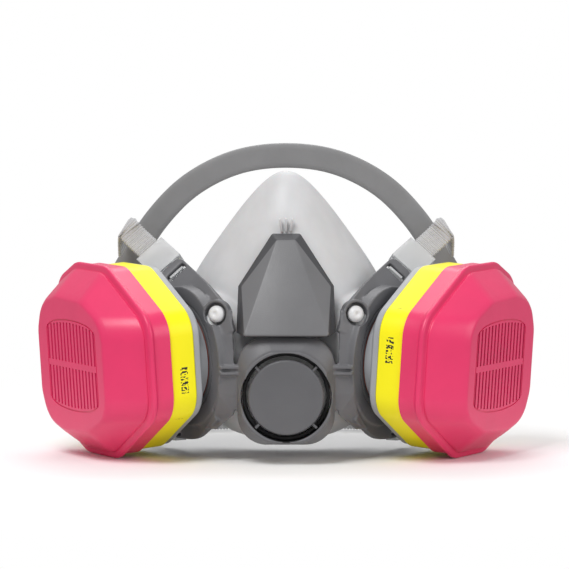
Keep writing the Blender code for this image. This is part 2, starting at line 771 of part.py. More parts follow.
def buckle(name):
    """A clear buckle: a flat sleeve for the webbing, and a hook that rises through the slot."""
    half = BUCKLE_WIDTH / 2
    sleeve = block(name, (BUCKLE_START, -half, BUCKLE_BACK), (BUCKLE_END, half, BUCKLE_FRONT))
    room = block("room", (BUCKLE_START - 0.001, BUCKLE_WALL - half, BUCKLE_BACK + BUCKLE_WALL),
                 (BUCKLE_END + 0.001, half - BUCKLE_WALL, BUCKLE_FRONT - BUCKLE_WALL))
    tongue = block("tongue", (-0.0008, 0.0024 - half, BUCKLE_BACK),
                   (BUCKLE_START + 0.001, half - 0.0024, BUCKLE_BACK + BUCKLE_WALL + 0.0001))
    hook = block("hook", (-0.0006, -0.0036, BUCKLE_BACK + 0.0005), (0.0006, 0.0036, 0.0012))
    return join(cut(sleeve, room), tongue, hook)


def buckles():
    """Four buckles, each with its hook in the slot of a yoke arm."""
    for level, path, face in (("upper", UPPER_ARM, UPPER_ARM_FACE),
                              ("lower", LOWER_ARM, LOWER_ARM_FACE)):
        for side in (-1, 1):
            name = level + "_buckle_" + side_name(side)
            item = add_object(name, buckle(name), CLEAR_PLASTIC)
            item.matrix_world = arm_frame(path, face, side, SLOT_FROM_END)
            smooth_round(item)


# The webbing's route in its buckle's frame, then the points where it folds back to the cradle.
WEB_START = (0.0125, 0.0355)
WEB_LEVEL = -0.0030
WEB_WIDTH = 0.0112
UPPER_WEB = [(70.5, 25.5, 98.0), (71.8, 33.0, 93.0), (72.0, 38.5, 86.5)]
UPPER_WEB_FACE = [(0.75, -0.15, 0.65), (0.92, 0.10, 0.38), (0.94, 0.10, 0.33)]
NECK_START = (0.0125, 0.0240)
NECK_ROUTE = [(59.5, 40.0, 7.6), (61.5, 53.0, 5.8), (57.0, 70.0, 5.8), (42.0, 84.0, 5.8),
              (20.0, 90.0, 5.8)]
CRADLE_ROUTE = [(75.0, 70.0), (69.5, 80.0), (57.5, 99.0), (42.0, 114.5), (22.0, 124.5),
                (0.0, 127.5)]
CRADLE_Y = 46.0
CRADLE_WIDTH = 0.011


def upper_webbing(side):
    """The short webbing between an upper buckle and the head cradle."""
    name = "upper_webbing_" + side_name(side)
    frame = arm_frame(UPPER_ARM, UPPER_ARM_FACE, side, SLOT_FROM_END)
    points = [frame @ Vector((reach, 0, WEB_LEVEL)) for reach in WEB_START]
    points += [mirrored(mm(*point), side) for point in UPPER_WEB]
    normals = [frame.to_3x3().col[2]] * len(WEB_START)
    normals += [mirrored(Vector(normal), side) for normal in UPPER_WEB_FACE]
    add_object(name, sweep(name, points, normals, WEB_WIDTH, STRAP_THICKNESS), WEBBING)


def head_cradle():
    """The flat arched band behind the crown, in one piece from side to side."""
    half = [mm(x, CRADLE_Y, z) for x, z in CRADLE_ROUTE]
    route = half + [mirrored(point, -1) for point in reversed(half[:-1])]
    path = smooth_path(route, 3)
    normals = [Vector((0, -1, 0))] * len(path)
    shape = sweep("head_cradle", path, normals, CRADLE_WIDTH, 0.002)
    add_object("head_cradle", shape, DARK_PLASTIC)


def neck_strap(side):
    """Half of the neck strap, standing on its edge on the ground behind the mask."""
    name = "neck_strap_" + side_name(side)
    frame = arm_frame(LOWER_ARM, LOWER_ARM_FACE, side, SLOT_FROM_END)
    points = [frame @ Vector((reach, 0, WEB_LEVEL)) for reach in NECK_START]
    points += [mirrored(mm(*point), side) for point in NECK_ROUTE]
    route = smooth_path(points, 3)
    normals = []
    for index in range(len(route)):
        tangent = route[min(index + 1, len(route) - 1)] - route[max(index - 1, 0)]
        normals.append(tangent.cross(Vector((0, 0, 1))) * side)
    shape = sweep(name, route, normals, WEB_WIDTH, STRAP_THICKNESS)
    add_object(name, shape, WEBBING)


def neck_clasps():
    """Hook on the left strap's end and loop on the right one's, unfastened."""
    for side in (-1, 1):
        end = mirrored(mm(12.2, 90.6, 6.8), side)
        plate = box("plate", (0.0140, 0.0024, 0.0130), Matrix.Translation(end))
        if side > 0:
            window = box("window", (0.0050, 0.02, 0.0080),
                         Matrix.Translation(end - Vector((0.0030, 0, 0))))
            add_object("clasp_loop", cut(plate, window), DARK_PLASTIC)
        else:
            lip = box("lip", (0.0016, 0.0060, 0.0070),
                      Matrix.Translation(end + Vector((0.0062, 0.0030, 0))))
            add_object("clasp_hook", join(plate, lip), DARK_PLASTIC)


def centre_on_footprint():
    """Move the whole mask so that the origin is on the ground at the middle of its footprint."""
    bpy.context.view_layer.update()
    points = [item.matrix_world @ vert.co
              for item in PARTS.objects if item.type == "MESH" for vert in item.data.vertices]
    low = [min(point[axis] for point in points) for axis in range(3)]
    high = [max(point[axis] for point in points) for axis in range(3)]
    shift = Vector(((low[0] + high[0]) / -2, (low[1] + high[1]) / -2, -low[2]))
    for item in PARTS.objects:
        if not item.parent:
            item.location += shift


def main():
    facepiece()
    exhalation_valve()
    front_plate()
    harness_yoke()
    ports()
    cartridges()
    buckles()
    head_cradle()
    neck_clasps()
    for side in (-1, 1):
        yoke_stud(side)
        upper_webbing(side)
        neck_strap(side)
    centre_on_footprint()


main()
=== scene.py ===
"""Looks of a half-mask respirator with two twist-on cartridges and a head harness.

Metres, +Z up, and the front of the mask faces -Y. Most parts are modelled again here at full
smoothness, in the frame of the CAD parts that they stand for; the front plate, the buckles and
the clasps refine the meshes of the CAD. The sizes are those of the CAD design, whose origin is
moved by SHIFT.
"""

import math

import bmesh
import bpy
from mathutils import Matrix, Vector


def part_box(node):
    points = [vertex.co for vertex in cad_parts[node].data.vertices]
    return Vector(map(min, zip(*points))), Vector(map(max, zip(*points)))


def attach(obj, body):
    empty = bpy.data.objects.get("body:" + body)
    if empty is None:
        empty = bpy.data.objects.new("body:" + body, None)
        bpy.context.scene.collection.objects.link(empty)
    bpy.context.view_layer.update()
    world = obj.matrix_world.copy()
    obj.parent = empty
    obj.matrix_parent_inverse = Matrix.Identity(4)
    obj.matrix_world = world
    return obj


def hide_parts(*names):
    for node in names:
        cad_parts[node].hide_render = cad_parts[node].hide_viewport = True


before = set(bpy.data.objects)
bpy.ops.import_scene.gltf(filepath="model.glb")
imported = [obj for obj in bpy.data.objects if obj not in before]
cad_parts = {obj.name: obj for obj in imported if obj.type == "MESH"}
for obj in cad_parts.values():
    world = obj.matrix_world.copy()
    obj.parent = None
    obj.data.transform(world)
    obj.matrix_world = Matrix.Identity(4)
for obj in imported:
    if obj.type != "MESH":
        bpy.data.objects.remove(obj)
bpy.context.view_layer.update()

MM = 0.001
MERGE = 0.00002
GAP = 0.0003

# Ports and cartridges
PORT_SWEEP = math.radians(60)
PORT_DROP = math.radians(4)
PORT_X = 0.044
PORT_Y = -0.012
PORT_RADIUS = 0.0234
POD_RADIUS = 0.027
HUB_RADIUS = 0.0094
LUG_RADIUS = 0.012
LUG_COUNT = 3
BASE_TOP = 0.0081
BAND_TOP = 0.0201
LIP_TOP = 0.031
COVER_TOP = 0.046
WALL = 0.0016
RIM_HALF_HEIGHT = 0.042
OUTLINE_CENTRE = Vector((-0.017, 0.0))
RIM_CORNERS = [(0.0275, 0.021), (-0.009, 0.042), (-0.037, 0.042), (-0.054, 0.034), (-0.061, 0.017)]
TOP_CORNERS = [(0.013, 0.020), (-0.006, 0.029), (-0.030, 0.030), (-0.044, 0.026), (-0.0485, 0.014)]
CORNER_RADIUS = 0.014
CORNER_STEPS = 9
TAPER_REACH = 0.014
PORT_Z = RIM_HALF_HEIGHT * math.cos(PORT_DROP) + LIP_TOP * math.sin(PORT_DROP)

# Grille of a filter cover
GRILLE = {"Columns": 15, "Pitch": 0.003, "Slit Width": 0.0012, "Half Height": 0.0185,
          "Middle Bar": 0.0026, "Arch": 0.13, "Depth": 0.006}
GRILLE_CENTRE_X = -0.0165

# Print on the front side of the label band: its middle along the side, and its half sizes
FRONT_SIDE = 0.018
PRINT_MIDDLE = -0.0065
PRINT_HALF_LENGTH = 0.0056
PRINT_HALF_HEIGHT = 0.0018
LETTER_PITCH = 0.00225

# Exhalation valve
VALVE_Z = 0.0294
HOUSING_HALF = 0.0208
HOUSING_TOP = 0.0549
HOUSING_FOOT = 0.0086
HOUSING_FRONT = -0.0435
HOUSING_BACK = -0.0305
HOUSING_BORE = 0.0191
DISC_RADIUS = 0.0162
DISC_FACE = 0.0432
SEAT_FRONT = 0.0320

# Harness
ARM_WIDTH = 0.012
ARM_THICKNESS = 0.003
STRAP_THICKNESS = 0.0018
WEB_WIDTH = 0.0112
WEB_LEVEL = -0.0030
RIM_RADIUS = 0.0303
SLOT_DEPTH = 0.0034
SLOT_LENGTH = 0.0094
SLOT_FROM_END = 0.0056

ROUND = 96  # sides of a round part
SIDES = ((-1, "left"), (1, "right"))

valve_low, valve_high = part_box("valve_cover")
SHIFT = Vector(((valve_low[0] + valve_high[0]) / 2, valve_low[1] + DISC_FACE,
                (valve_low[2] + valve_high[2]) / 2 - VALVE_Z))


def mm(x, y, z):
    """A point of the CAD design, given in millimetres, in this frame."""
    return Vector((x, y, z)) * MM + SHIFT


def mirrored(point, side):
    """The point itself on the right (side 1), and its mirror image on the left (side -1)."""
    return Vector((point.x * side, point.y, point.z))


# ---- Nodes and finishes ----

CLOUD_SCALE = 70.0
GLOSS_SCALE = 420.0
GRAIN_SCALE = 2600.0
THREAD_PITCH = 0.00055
FIBRE_SCALE = 1800.0
INK_SCALE = 1100.0
INK_LEVEL = 0.47


def add(tree, kind, inputs=None, **settings):
    """A node in a tree, with its settings and with inputs that are sockets or plain values."""
    node = tree.nodes.new(kind)
    for key, value in settings.items():
        setattr(node, key, value)
    for key, value in (inputs or {}).items():
        if isinstance(value, bpy.types.NodeSocket):
            tree.links.new(value, node.inputs[key])
        else:
            node.inputs[key].default_value = value
    return node


def calculate(tree, operation, *values):
    """The result of a Math node, whose inputs are sockets or numbers."""
    return add(tree, "ShaderNodeMath", dict(enumerate(values)),
               operation=operation).outputs["Value"]


def vector(tree, **parts):
    """A vector made of its X, Y and Z parts."""
    return add(tree, "ShaderNodeCombineXYZ", parts).outputs["Vector"]


def shader_of(name, **values):
    """A new material with values on its shader's own sockets, its tree and that shader."""
    finish = bpy.data.materials.new(name)
    finish.use_nodes = True
    shader = finish.node_tree.nodes["Principled BSDF"]
    for socket, value in values.items():
        shader.inputs[socket.replace("_", " ")].default_value = value
    return finish, finish.node_tree, shader


def object_place(tree):
    return add(tree, "ShaderNodeTexCoord").outputs["Object"]


def stored(tree, name):
    """A number kept on the mesh under a name."""
    return add(tree, "ShaderNodeAttribute", attribute_name=name).outputs["Fac"]


def noise(tree, scale, detail=3.0):
    """A noise texture in object coordinates."""
    return add(tree, "ShaderNodeTexNoise", {"Vector": object_place(tree), "Scale": scale,
                                            "Detail": detail}).outputs["Fac"]


def coloured(tree, factor, low, high, shader, start=0.3, end=0.7):
    """Colour the shader from low to high as the factor goes from start to end."""
    blend = add(tree, "ShaderNodeValToRGB", {"Fac": factor})
    first, last = blend.color_ramp.elements
    first.position, first.color = start, (*low, 1.0)
    last.position, last.color = end, (*high, 1.0)
    tree.links.new(blend.outputs["Color"], shader.inputs["Base Color"])


def bump(tree, height, distance, shader):
    """Relief of a height in metres on the shader's normal."""
    relief = add(tree, "ShaderNodeBump", {"Height": height, "Distance": distance, "Strength": 1.0})
    tree.links.new(relief.outputs["Normal"], shader.inputs["Normal"])


def tinted(colour, amount):
    return tuple(min(1.0, channel * amount) for channel in colour)


def moulded(name, colour, roughness, grain=0.00004, unevenness=0.05, **values):
    """Moulded plastic or rubber: a fine-grained skin with faint clouds in its colour and gloss."""
    finish, tree, shader = shader_of(name, **values)
    coloured(tree, noise(tree, CLOUD_SCALE), tinted(colour, 1 - unevenness),
             tinted(colour, 1 + unevenness), shader)
    gloss = add(tree, "ShaderNodeMapRange", {
        "Value": noise(tree, GLOSS_SCALE), "To Min": roughness - 0.05, "To Max": roughness + 0.07})
    tree.links.new(gloss.outputs["Result"], shader.inputs["Roughness"])
    bump(tree, noise(tree, GRAIN_SCALE, 2.0), grain, shader)
    return finish


def woven(name, colour):
    """Elastic webbing: rows of threads across the strap, with a soft sheen."""
    finish, tree, shader = shader_of(name, Roughness=0.85, Sheen_Weight=0.35)
    wave = calculate(tree, "SINE", calculate(tree, "MULTIPLY", stored(tree, "along"),
                                             math.tau / THREAD_PITCH))
    threads = calculate(tree, "MULTIPLY_ADD", wave, 0.22, noise(tree, FIBRE_SCALE, 4.0))
    coloured(tree, threads, tinted(colour, 0.66), colour, shader, 0.2, 0.75)
    bump(tree, threads, 0.00016, shader)
    return finish


def printed_band(name, colour, ink):
    """The yellow label band with a short row of plain printed marks on its front side."""
    finish, tree, shader = shader_of(name, Roughness=0.42, Specular_IOR_Level=0.3)
    along = stored(tree, "along")
    letter = calculate(tree, "PINGPONG", along, LETTER_PITCH / 2)
    ink_there = 1.0
    for test in (
        calculate(tree, "COMPARE", along, PRINT_MIDDLE, PRINT_HALF_LENGTH),
        calculate(tree, "COMPARE", stored(tree, "height"), (BASE_TOP + BAND_TOP) / 2,
                  PRINT_HALF_HEIGHT),
        calculate(tree, "GREATER_THAN", letter, LETTER_PITCH * 0.12),
        calculate(tree, "GREATER_THAN", noise(tree, INK_SCALE, 0.0), INK_LEVEL),
    ):
        ink_there = calculate(tree, "MULTIPLY", ink_there, test)
    coloured(tree, ink_there, colour, ink, shader, 0.4, 0.6)
    bump(tree, noise(tree, 900.0), 0.00003, shader)
    return finish


def granular(name, colour, scale, depth):
    """A packed bed of grains or a felt, seen as cells with dark joints."""
    finish, tree, shader = shader_of(name, Roughness=0.92)
    cells = add(tree, "ShaderNodeTexVoronoi", {"Vector": object_place(tree), "Scale": scale})
    coloured(tree, cells.outputs["Distance"], colour, tinted(colour, 0.5), shader, 0.1, 0.8)
    bump(tree, cells.outputs["Distance"], depth, shader)
    return finish


# One finish for each material slot of the record, and those that share a slot
FINISH = {
    "elastomer": moulded("pale_grey_elastomer", (0.60, 0.60, 0.61), 0.50,
                         Subsurface_Weight=0.06, Subsurface_Scale=0.002),
    "dark_plastic": moulded("dark_grey_plastic", (0.128, 0.128, 0.136), 0.42, 0.00006),
    "plate": moulded("front_plate_grey", (0.146, 0.146, 0.152), 0.40, 0.00006),
    "disc": moulded("valve_disc_grey", (0.108, 0.108, 0.115), 0.38, 0.00005),
    "port_plastic": moulded("pale_port_plastic", (0.74, 0.74, 0.75), 0.35),
    "base_plastic": moulded("cool_grey_plastic", (0.36, 0.37, 0.39), 0.40),
    "valve_rubber": moulded("milky_silicone", (0.66, 0.64, 0.56), 0.38,
                            Subsurface_Weight=0.15, Subsurface_Scale=0.001),
    "gasket_rubber": moulded("red_brown_rubber", (0.24, 0.07, 0.05), 0.55),
    "band_yellow": printed_band("yellow_label_band", (0.97, 0.87, 0.006), (0.02, 0.02, 0.02)),
    "cover_magenta": moulded("magenta_plastic", (0.76, 0.028, 0.130), 0.36, 0.00003, 0.03,
                             Coat_Weight=0.12, Coat_Roughness=0.25),
    "sorbent": granular("carbon_granules", (0.04, 0.04, 0.042), 900.0, 0.0004),
    "filter_media": granular("pink_filter_felt", (0.85, 0.07, 0.20), 2600.0, 0.0001),
    "clear_plastic": moulded("clear_buckle_plastic", (0.90, 0.91, 0.92), 0.16, 0.00001, 0.01,
                             Transmission_Weight=0.55, IOR=1.46),
    "webbing": woven("grey_elastic_webbing", (0.56, 0.56, 0.57)),
    "strap": moulded("smooth_grey_strap", (0.235, 0.235, 0.24), 0.50, 0.00005),
    # painted shade: a near-black finish for the round gap about the valve disc, standing in for the
    # shade there
    "shade": moulded("painted_gap_shade", (0.012, 0.012, 0.013), 0.6),
    # painted shade: a darker grey for the plate's faces that turn away from the front
    "plate_side_shade": moulded("plate_side_painted_shade", (0.055, 0.055, 0.060), 0.45),
}


# ---- Mesh work ----


def placed(name, data):
    """A new object in the scene."""
    item = bpy.data.objects.new(name, data)
    bpy.context.scene.collection.objects.link(item)
    return item


def as_mesh(bm, name):
    mesh = bpy.data.meshes.new(name)
    bm.to_mesh(mesh)
    bm.free()
    return mesh


def finished(bm, name, place=None):
    """Turn a bmesh into a mesh with its faces pointing out, moved by a matrix."""
    bmesh.ops.remove_doubles(bm, verts=bm.verts, dist=MERGE)
    bmesh.ops.recalc_face_normals(bm, faces=bm.faces)
    mesh = as_mesh(bm, name)
    if place:
        mesh.transform(place)
    return mesh


def moved(mesh, place):
    """A copy of a mesh, moved by a matrix."""
    mesh = mesh.copy()
    mesh.transform(place)
    return mesh


def evaluated(mesh, *steps):
    """The mesh after modifiers, each a kind followed by its settings or node inputs."""
    item = placed(mesh.name, mesh)
    for kind, settings in steps:
        step = item.modifiers.new(kind.lower(), kind)
        for key, value in settings.items():
            if key.startswith("Socket"):
                step[key] = value
            else:
                setattr(step, key, value)
    graph = bpy.context.evaluated_depsgraph_get()
    result = bpy.data.meshes.new_from_object(item.evaluated_get(graph))
    result.name = mesh.name
    bpy.data.objects.remove(item, do_unlink=True)
    return result


def combined(operation, base, meshes):
    """The exact union or difference of a mesh and others, one after the other."""
    for mesh in meshes:
        other = placed("tool", mesh)
        base = evaluated(base, ("BOOLEAN", {"operation": operation, "solver": "EXACT",
                                            "object": other}))
        bpy.data.objects.remove(other, do_unlink=True)
    return base


def join(base, *meshes):
    return combined("UNION", base, meshes)


def cut(base, *meshes):
    return combined("DIFFERENCE", base, meshes)


def moulding(mesh, voxel, passes):
    """The mesh as one skin of even faces with its inner and outer corners eased."""
    return evaluated(mesh, ("REMESH", {"mode": "VOXEL", "voxel_size": voxel}),
                     ("SMOOTH", {"factor": 0.5, "iterations": passes}))


def eased(mesh, width):
    """The mesh with its sharp edges rounded."""
    return evaluated(mesh, ("BEVEL", {
        "width": width, "segments": 3, "limit_method": "ANGLE", "angle_limit": math.radians(30),
    }))


def rounded_run(points, reach, steps=4):
    """An open run of points whose inner corners are eased over a reach on both sides."""
    run = [points[0]]
    for before, corner, after in zip(points, points[1:], points[2:]):
        start = corner + (before - corner) * min(0.45, reach / (before - corner).length)
        end = corner + (after - corner) * min(0.45, reach / (after - corner).length)
        for step in range(steps + 1):
            t = step / steps
            run.append(start * (1 - t) ** 2 + corner * (2 * t * (1 - t)) + end * t ** 2)
    run.append(points[-1])
    return run


def skin(bm, loops):
    """Faces from each loop of vertices to the next, where a loop may be a single point."""
    for lower, upper in zip(loops, loops[1:]):
        count = max(len(lower), len(upper))
        for index in range(count):
            after = index + 1
            corners = dict.fromkeys((lower[index % len(lower)], lower[after % len(lower)],
                                     upper[after % len(upper)], upper[index % len(upper)]))
            if len(corners) > 2:
                bm.faces.new(list(corners))


def loft(name, rings, hollow=False, values=None):
    """Skin closed rings of equal point counts; a hollow one joins its last ring to its first.

    values maps an attribute's name to one list of numbers for each ring.
    """
    bm = bmesh.new()
    layers = {key: bm.verts.layers.float.new(key) for key in values or {}}
    loops = [[bm.verts.new(point) for point in ring] for ring in rings]
    for key, layer in layers.items():
        for loop, row in zip(loops, values[key]):
            for vert, value in zip(loop, row):
                vert[layer] = value
    if hollow:
        skin(bm, loops + loops[:1])
    else:
        skin(bm, loops)
        bm.faces.new(list(reversed(loops[0])))
        bm.faces.new(loops[-1])
    return finished(bm, name)


def turned(name, profile, reach=0.0003, segments=ROUND):
    """Revolve a (radius, height) profile about z, with its corners eased.

    A profile that starts and ends on the axis is open; any other is closed into a ring.
    """
    points = [Vector(point) for point in profile]
    ring = profile[0][0] > 0
    if ring:
        middle = (points[0] + points[-1]) / 2
        points = [middle, *points, middle]
    bm = bmesh.new()
    loops = []
    for radius, height in rounded_run(points, reach, 3):
        angles = [math.tau * turn / segments for turn in range(segments if radius > MERGE else 1)]
        loops.append([bm.verts.new((radius * math.cos(angle), radius * math.sin(angle), height))
                      for angle in angles])
    skin(bm, loops)
    return finished(bm, name)


def block(name, low, high, place=None):
    """A box between two corners, moved by a matrix."""
    low = Vector(low)
    high = Vector(high)
    bm = bmesh.new()
    bmesh.ops.create_cube(bm, size=1.0)
    bmesh.ops.scale(bm, vec=high - low, verts=bm.verts)
    bmesh.ops.translate(bm, vec=(low + high) / 2, verts=bm.verts)
    return finished(bm, name, place)


def around(name, low, high, count, first, step):
    """Boxes turned about z: the first by one angle and each after it by a step, in degrees."""
    return [block(name, low, high, Matrix.Rotation(math.radians(first + step * turn), 4, "Z"))
            for turn in range(count)]


def cylinder(name, radius, bottom, top, place=None, sides=ROUND):
    """A cylinder about z from bottom to top, moved by a matrix."""
    bm = bmesh.new()
    bmesh.ops.create_cone(bm, cap_ends=True, segments=sides, radius1=radius, radius2=radius,
                          depth=top - bottom)
    bmesh.ops.translate(bm, vec=(0, 0, (top + bottom) / 2), verts=bm.verts)
    return finished(bm, name, place)


def rounded_outline(corners, radius, steps=CORNER_STEPS):
    """Points round a convex outline, anticlockwise, whose corners are arcs of one radius."""
    points = []
    for index, corner in enumerate(corners):
        before = (corners[index - 1] - corner).normalized()
        after = (corners[(index + 1) % len(corners)] - corner).normalized()
        half = before.angle(after) / 2
        centre = corner + (before + after).normalized() * radius / math.sin(half)
        start = corner + before * radius / math.tan(half) - centre
        start_angle = math.atan2(start.y, start.x)
        for step in range(steps + 1):
            angle = start_angle + (math.pi - 2 * half) * step / steps
            points.append(centre + radius * Vector((math.cos(angle), math.sin(angle))))
    return points


def flat_section(width, thickness):
    """The section of a strap: two flat faces joined by half-round edges."""
    across, round_steps = 6, 4
    flat = width / 2 - thickness / 2
    points = []
    for turn in (0, 1):
        sign = 1 - 2 * turn
        for step in range(across + 1):
            points.append((sign * flat * (1 - 2 * step / across), sign * thickness / 2))
        for step in range(1, round_steps):
            angle = math.pi * (0.5 + turn + step / round_steps)
            points.append((-sign * flat + thickness / 2 * math.cos(angle),
                           thickness / 2 * math.sin(angle)))
    return points


def swept(name, run, section):
    """A section moved along a run of points that each carry the direction of the strap's face."""
    path = [Vector(point[:3]) for point in run]
    rings = []
    lengths = []
    length = 0.0
    for index, point in enumerate(path):
        if index:
            length += (point - path[index - 1]).length
        tangent = (path[min(index + 1, len(path) - 1)] - path[max(index - 1, 0)]).normalized()
        across = tangent.cross(Vector(run[index][3:])).normalized()
        out = across.cross(tangent).normalized()
        rings.append([point + across * u + out * v for u, v in section])
        lengths.append([length] * len(section))
    return loft(name, rings, values={"along": lengths})


def on_side(points, side, scale=mm):
    """Points or directions of the right side, given as numbers, on either side."""
    return [mirrored(scale(*point), side) for point in points]


def direction(x, y, z):
    return Vector((x, y, z))


def with_face(points, normals):
    """Points joined with the short directions of their faces, for rounded_run and swept."""
    return [Vector((*point, *(Vector(normal) * MM))) for point, normal in zip(points, normals)]


def divided(run, spacing):
    """A run with extra points between its own, so that none are further apart than the spacing."""
    result = []
    for here, there in zip(run, run[1:]):
        count = max(1, math.ceil((Vector(there[:3]) - Vector(here[:3])).length / spacing))
        result += [here.lerp(there, step / count) for step in range(count)]
    result.append(run[-1])
    return result


def piece(name, mesh, finish, body, *nodes, slot=None, smooth_angle=32):
    """Show a mesh as a piece that rides on a body and stands for CAD nodes.

    Its material slot holds its finish; the slot argument is not used.
    """
    mesh.name = name
    mesh.materials.clear()
    mesh.materials.append(FINISH[finish])
    mesh.shade_smooth()
    mesh.set_sharp_from_angle(angle=math.radians(smooth_angle))
    item = placed(name, mesh)
    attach(item, body)
    if nodes:
        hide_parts(*nodes)
    return item


def repaint(item, finish, chosen):
    """Give the faces that a test chooses, by their centre and normal, another finish."""
    item.data.materials.append(FINISH[finish])
    for face in item.data.polygons:
        if chosen(face.center, face.normal):
            face.material_index = len(item.data.materials) - 1


def refined(node, width):
    """A copy of a CAD node's mesh with its triangles merged into faces and its edges rounded."""
    bm = bmesh.new()
    bm.from_mesh(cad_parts[node].data)
    bmesh.ops.remove_doubles(bm, verts=bm.verts, dist=MERGE)
    bmesh.ops.dissolve_limit(bm, angle_limit=math.radians(1.5), verts=bm.verts, edges=bm.edges)
    return eased(as_mesh(bm, node), width)


# ---- Geometry Nodes ----


def new_tree(name, sizes):
    """A Geometry Nodes tree and its inputs: a geometry, a material and named sizes."""
    tree = bpy.data.node_groups.new(name, "GeometryNodeTree")
    kinds = {"Geometry": "Geometry", "Finish": "Material"}
    kinds.update({key: "Int" if isinstance(value, int) else "Float"
                  for key, value in sizes.items()})
    for key, kind in kinds.items():
        tree.interface.new_socket(key, in_out="INPUT", socket_type="NodeSocket" + kind)
    tree.interface.new_socket("Geometry", in_out="OUTPUT", socket_type="NodeSocketGeometry")
    return tree, add(tree, "NodeGroupInput").outputs


def end_tree(tree, given, geometry):
    """Realise the instances, set the material and close the tree."""
    real = add(tree, "GeometryNodeRealizeInstances", {"Geometry": geometry})
    paint = add(tree, "GeometryNodeSetMaterial", {"Geometry": real.outputs["Geometry"],
                                                  "Material": given["Finish"]})
    add(tree, "NodeGroupOutput", {"Geometry": paint.outputs["Geometry"]})
    return tree


def grown(mesh, tree, sizes, finish):
    """The mesh that a tree makes of another, with its inputs set by their identifiers."""
    values = {"Finish": FINISH[finish], **sizes}
    given = {socket.identifier: values[socket.name] for socket in tree.interface.items_tree
             if socket.in_out == "INPUT" and socket.name in values}
    return evaluated(mesh, ("NODES", {"node_group": tree, **given}))


def slit_tree():
    """Slits in two rows, whose lengths follow an arch over the grille."""
    tree, size = new_tree("grille_slits", GRILLE)
    span = calculate(tree, "MULTIPLY", size["Columns"], size["Pitch"])
    reach = calculate(tree, "DIVIDE", span, 2.0)
    first = calculate(tree, "SUBTRACT", calculate(tree, "DIVIDE", size["Pitch"], 2.0), reach)
    line = add(tree, "GeometryNodeMeshLine", {"Count": size["Columns"],
                                              "Start Location": vector(tree, X=first),
                                              "Offset": vector(tree, X=size["Pitch"])})
    position = add(tree, "GeometryNodeInputPosition").outputs["Position"]
    place = add(tree, "ShaderNodeSeparateXYZ", {"Vector": position})
    share = calculate(tree, "DIVIDE", place.outputs["X"], reach)
    fall = calculate(tree, "MULTIPLY", calculate(tree, "MULTIPLY", share, share), size["Arch"])
    height = calculate(tree, "MULTIPLY", calculate(tree, "SUBTRACT", 1.0, fall),
                       size["Half Height"])
    length = calculate(tree, "SUBTRACT", height, calculate(tree, "DIVIDE", size["Middle Bar"], 2.0))
    lift = calculate(tree, "DIVIDE", calculate(tree, "ADD", length, size["Middle Bar"]), 2.0)
    scale = vector(tree, X=size["Slit Width"], Y=length, Z=size["Depth"])
    cube = add(tree, "GeometryNodeMeshCube")
    both = add(tree, "GeometryNodeJoinGeometry")
    for row in (-1.0, 1.0):
        points = add(tree, "GeometryNodeSetPosition", {
            "Geometry": line.outputs["Mesh"],
            "Offset": vector(tree, Y=calculate(tree, "MULTIPLY", lift, row))})
        slits = add(tree, "GeometryNodeInstanceOnPoints", {
            "Points": points.outputs["Geometry"], "Instance": cube.outputs["Mesh"],
            "Scale": scale})
        tree.links.new(slits.outputs["Instances"], both.inputs["Geometry"])
    return end_tree(tree, size, both.outputs["Geometry"])


RIBS = {"Rib Pitch": 0.0014, "Rib Depth": 0.00050}


def rib_tree():
    """Ribs across a strap, pressed in along its face by the distance from its start."""
    tree, size = new_tree("webbing_ribs", RIBS)
    along = add(tree, "GeometryNodeInputNamedAttribute", {"Name": "along"}, data_type="FLOAT")
    turns = calculate(tree, "DIVIDE", along.outputs["Attribute"], size["Rib Pitch"])
    wave = calculate(tree, "SINE", calculate(tree, "MULTIPLY", turns, math.tau))
    press = calculate(tree, "MULTIPLY", calculate(tree, "SUBTRACT", wave, 1.0),
                      calculate(tree, "DIVIDE", size["Rib Depth"], 2.0))
    normal = add(tree, "GeometryNodeInputNormal").outputs["Normal"]
    offset = add(tree, "ShaderNodeVectorMath", {0: normal, "Scale": press}, operation="SCALE")
    move = add(tree, "GeometryNodeSetPosition", {"Geometry": size["Geometry"],
                                                 "Offset": offset.outputs["Vector"]})
    return end_tree(tree, size, move.outputs["Geometry"])


# ---- Facepiece ----

# Half rings of the face cup from the bridge of the nose down to the chin, in millimetres.
SEAL_LIP = [(0, 12, 111), (9, 17, 102), (19, 26, 86), (32, 36, 64), (37, 38, 40), (25, 31, 20),
            (0, 20, 16)]
REAR_EDGE = [(0, 8, 127), (15, 14, 116), (29, 25, 97), (46, 37, 70), (52, 40, 38), (36, 32, 11),
             (0, 18, 4)]
CHEEK_RING = [(0, -2, 130), (14, 3, 115), (29, 9, 93), (47, 18, 70), (53, 18, 38), (37, 12, 10),
              (0, 2, 3)]
NOSE_RING = [(0, -11, 112), (12, -11, 99), (23, -10, 85), (34, -12, 68), (36, -11, 38),
             (29, -12, 12), (0, -15, 4)]
FRONT_RING = [(0, -14, 94), (9, -15, 89), (14, -18.5, 75), (18, -25, 58), (18, -27.5, 34),
              (14, -27.5, 18), (0, -27, 12)]
SHELL_WALL = 0.0026
SHELL_VOXEL = 0.0009
VALVE_HOLE = 0.0174
RIB_PLACE = (2.3, -13.9, 101.0)
RIB_HALF = Vector((0.0005, 0.0010, 0.0030))


def port_frame(side):
    """Frame of a port: x to the front, z out of the mask along the bayonet's axis."""
    out = Vector((
        side * math.sin(PORT_SWEEP) * math.cos(PORT_DROP),
        -math.cos(PORT_SWEEP) * math.cos(PORT_DROP),
        -math.sin(PORT_DROP),
    ))
    front = Vector((-side * math.cos(PORT_SWEEP), -math.sin(PORT_SWEEP), 0.0))
    place = Matrix((front, out.cross(front), out)).transposed().to_4x4()
    place.translation = Vector((side * PORT_X, PORT_Y, PORT_Z)) + SHIFT
    return place


def valve_frame():
    """Frame of the exhalation valve: z out of the mask, towards -Y."""
    place = Matrix.Rotation(math.radians(90), 4, "X")
    place.translation = Vector((0.0, 0.0, VALVE_Z)) + SHIFT
    return place


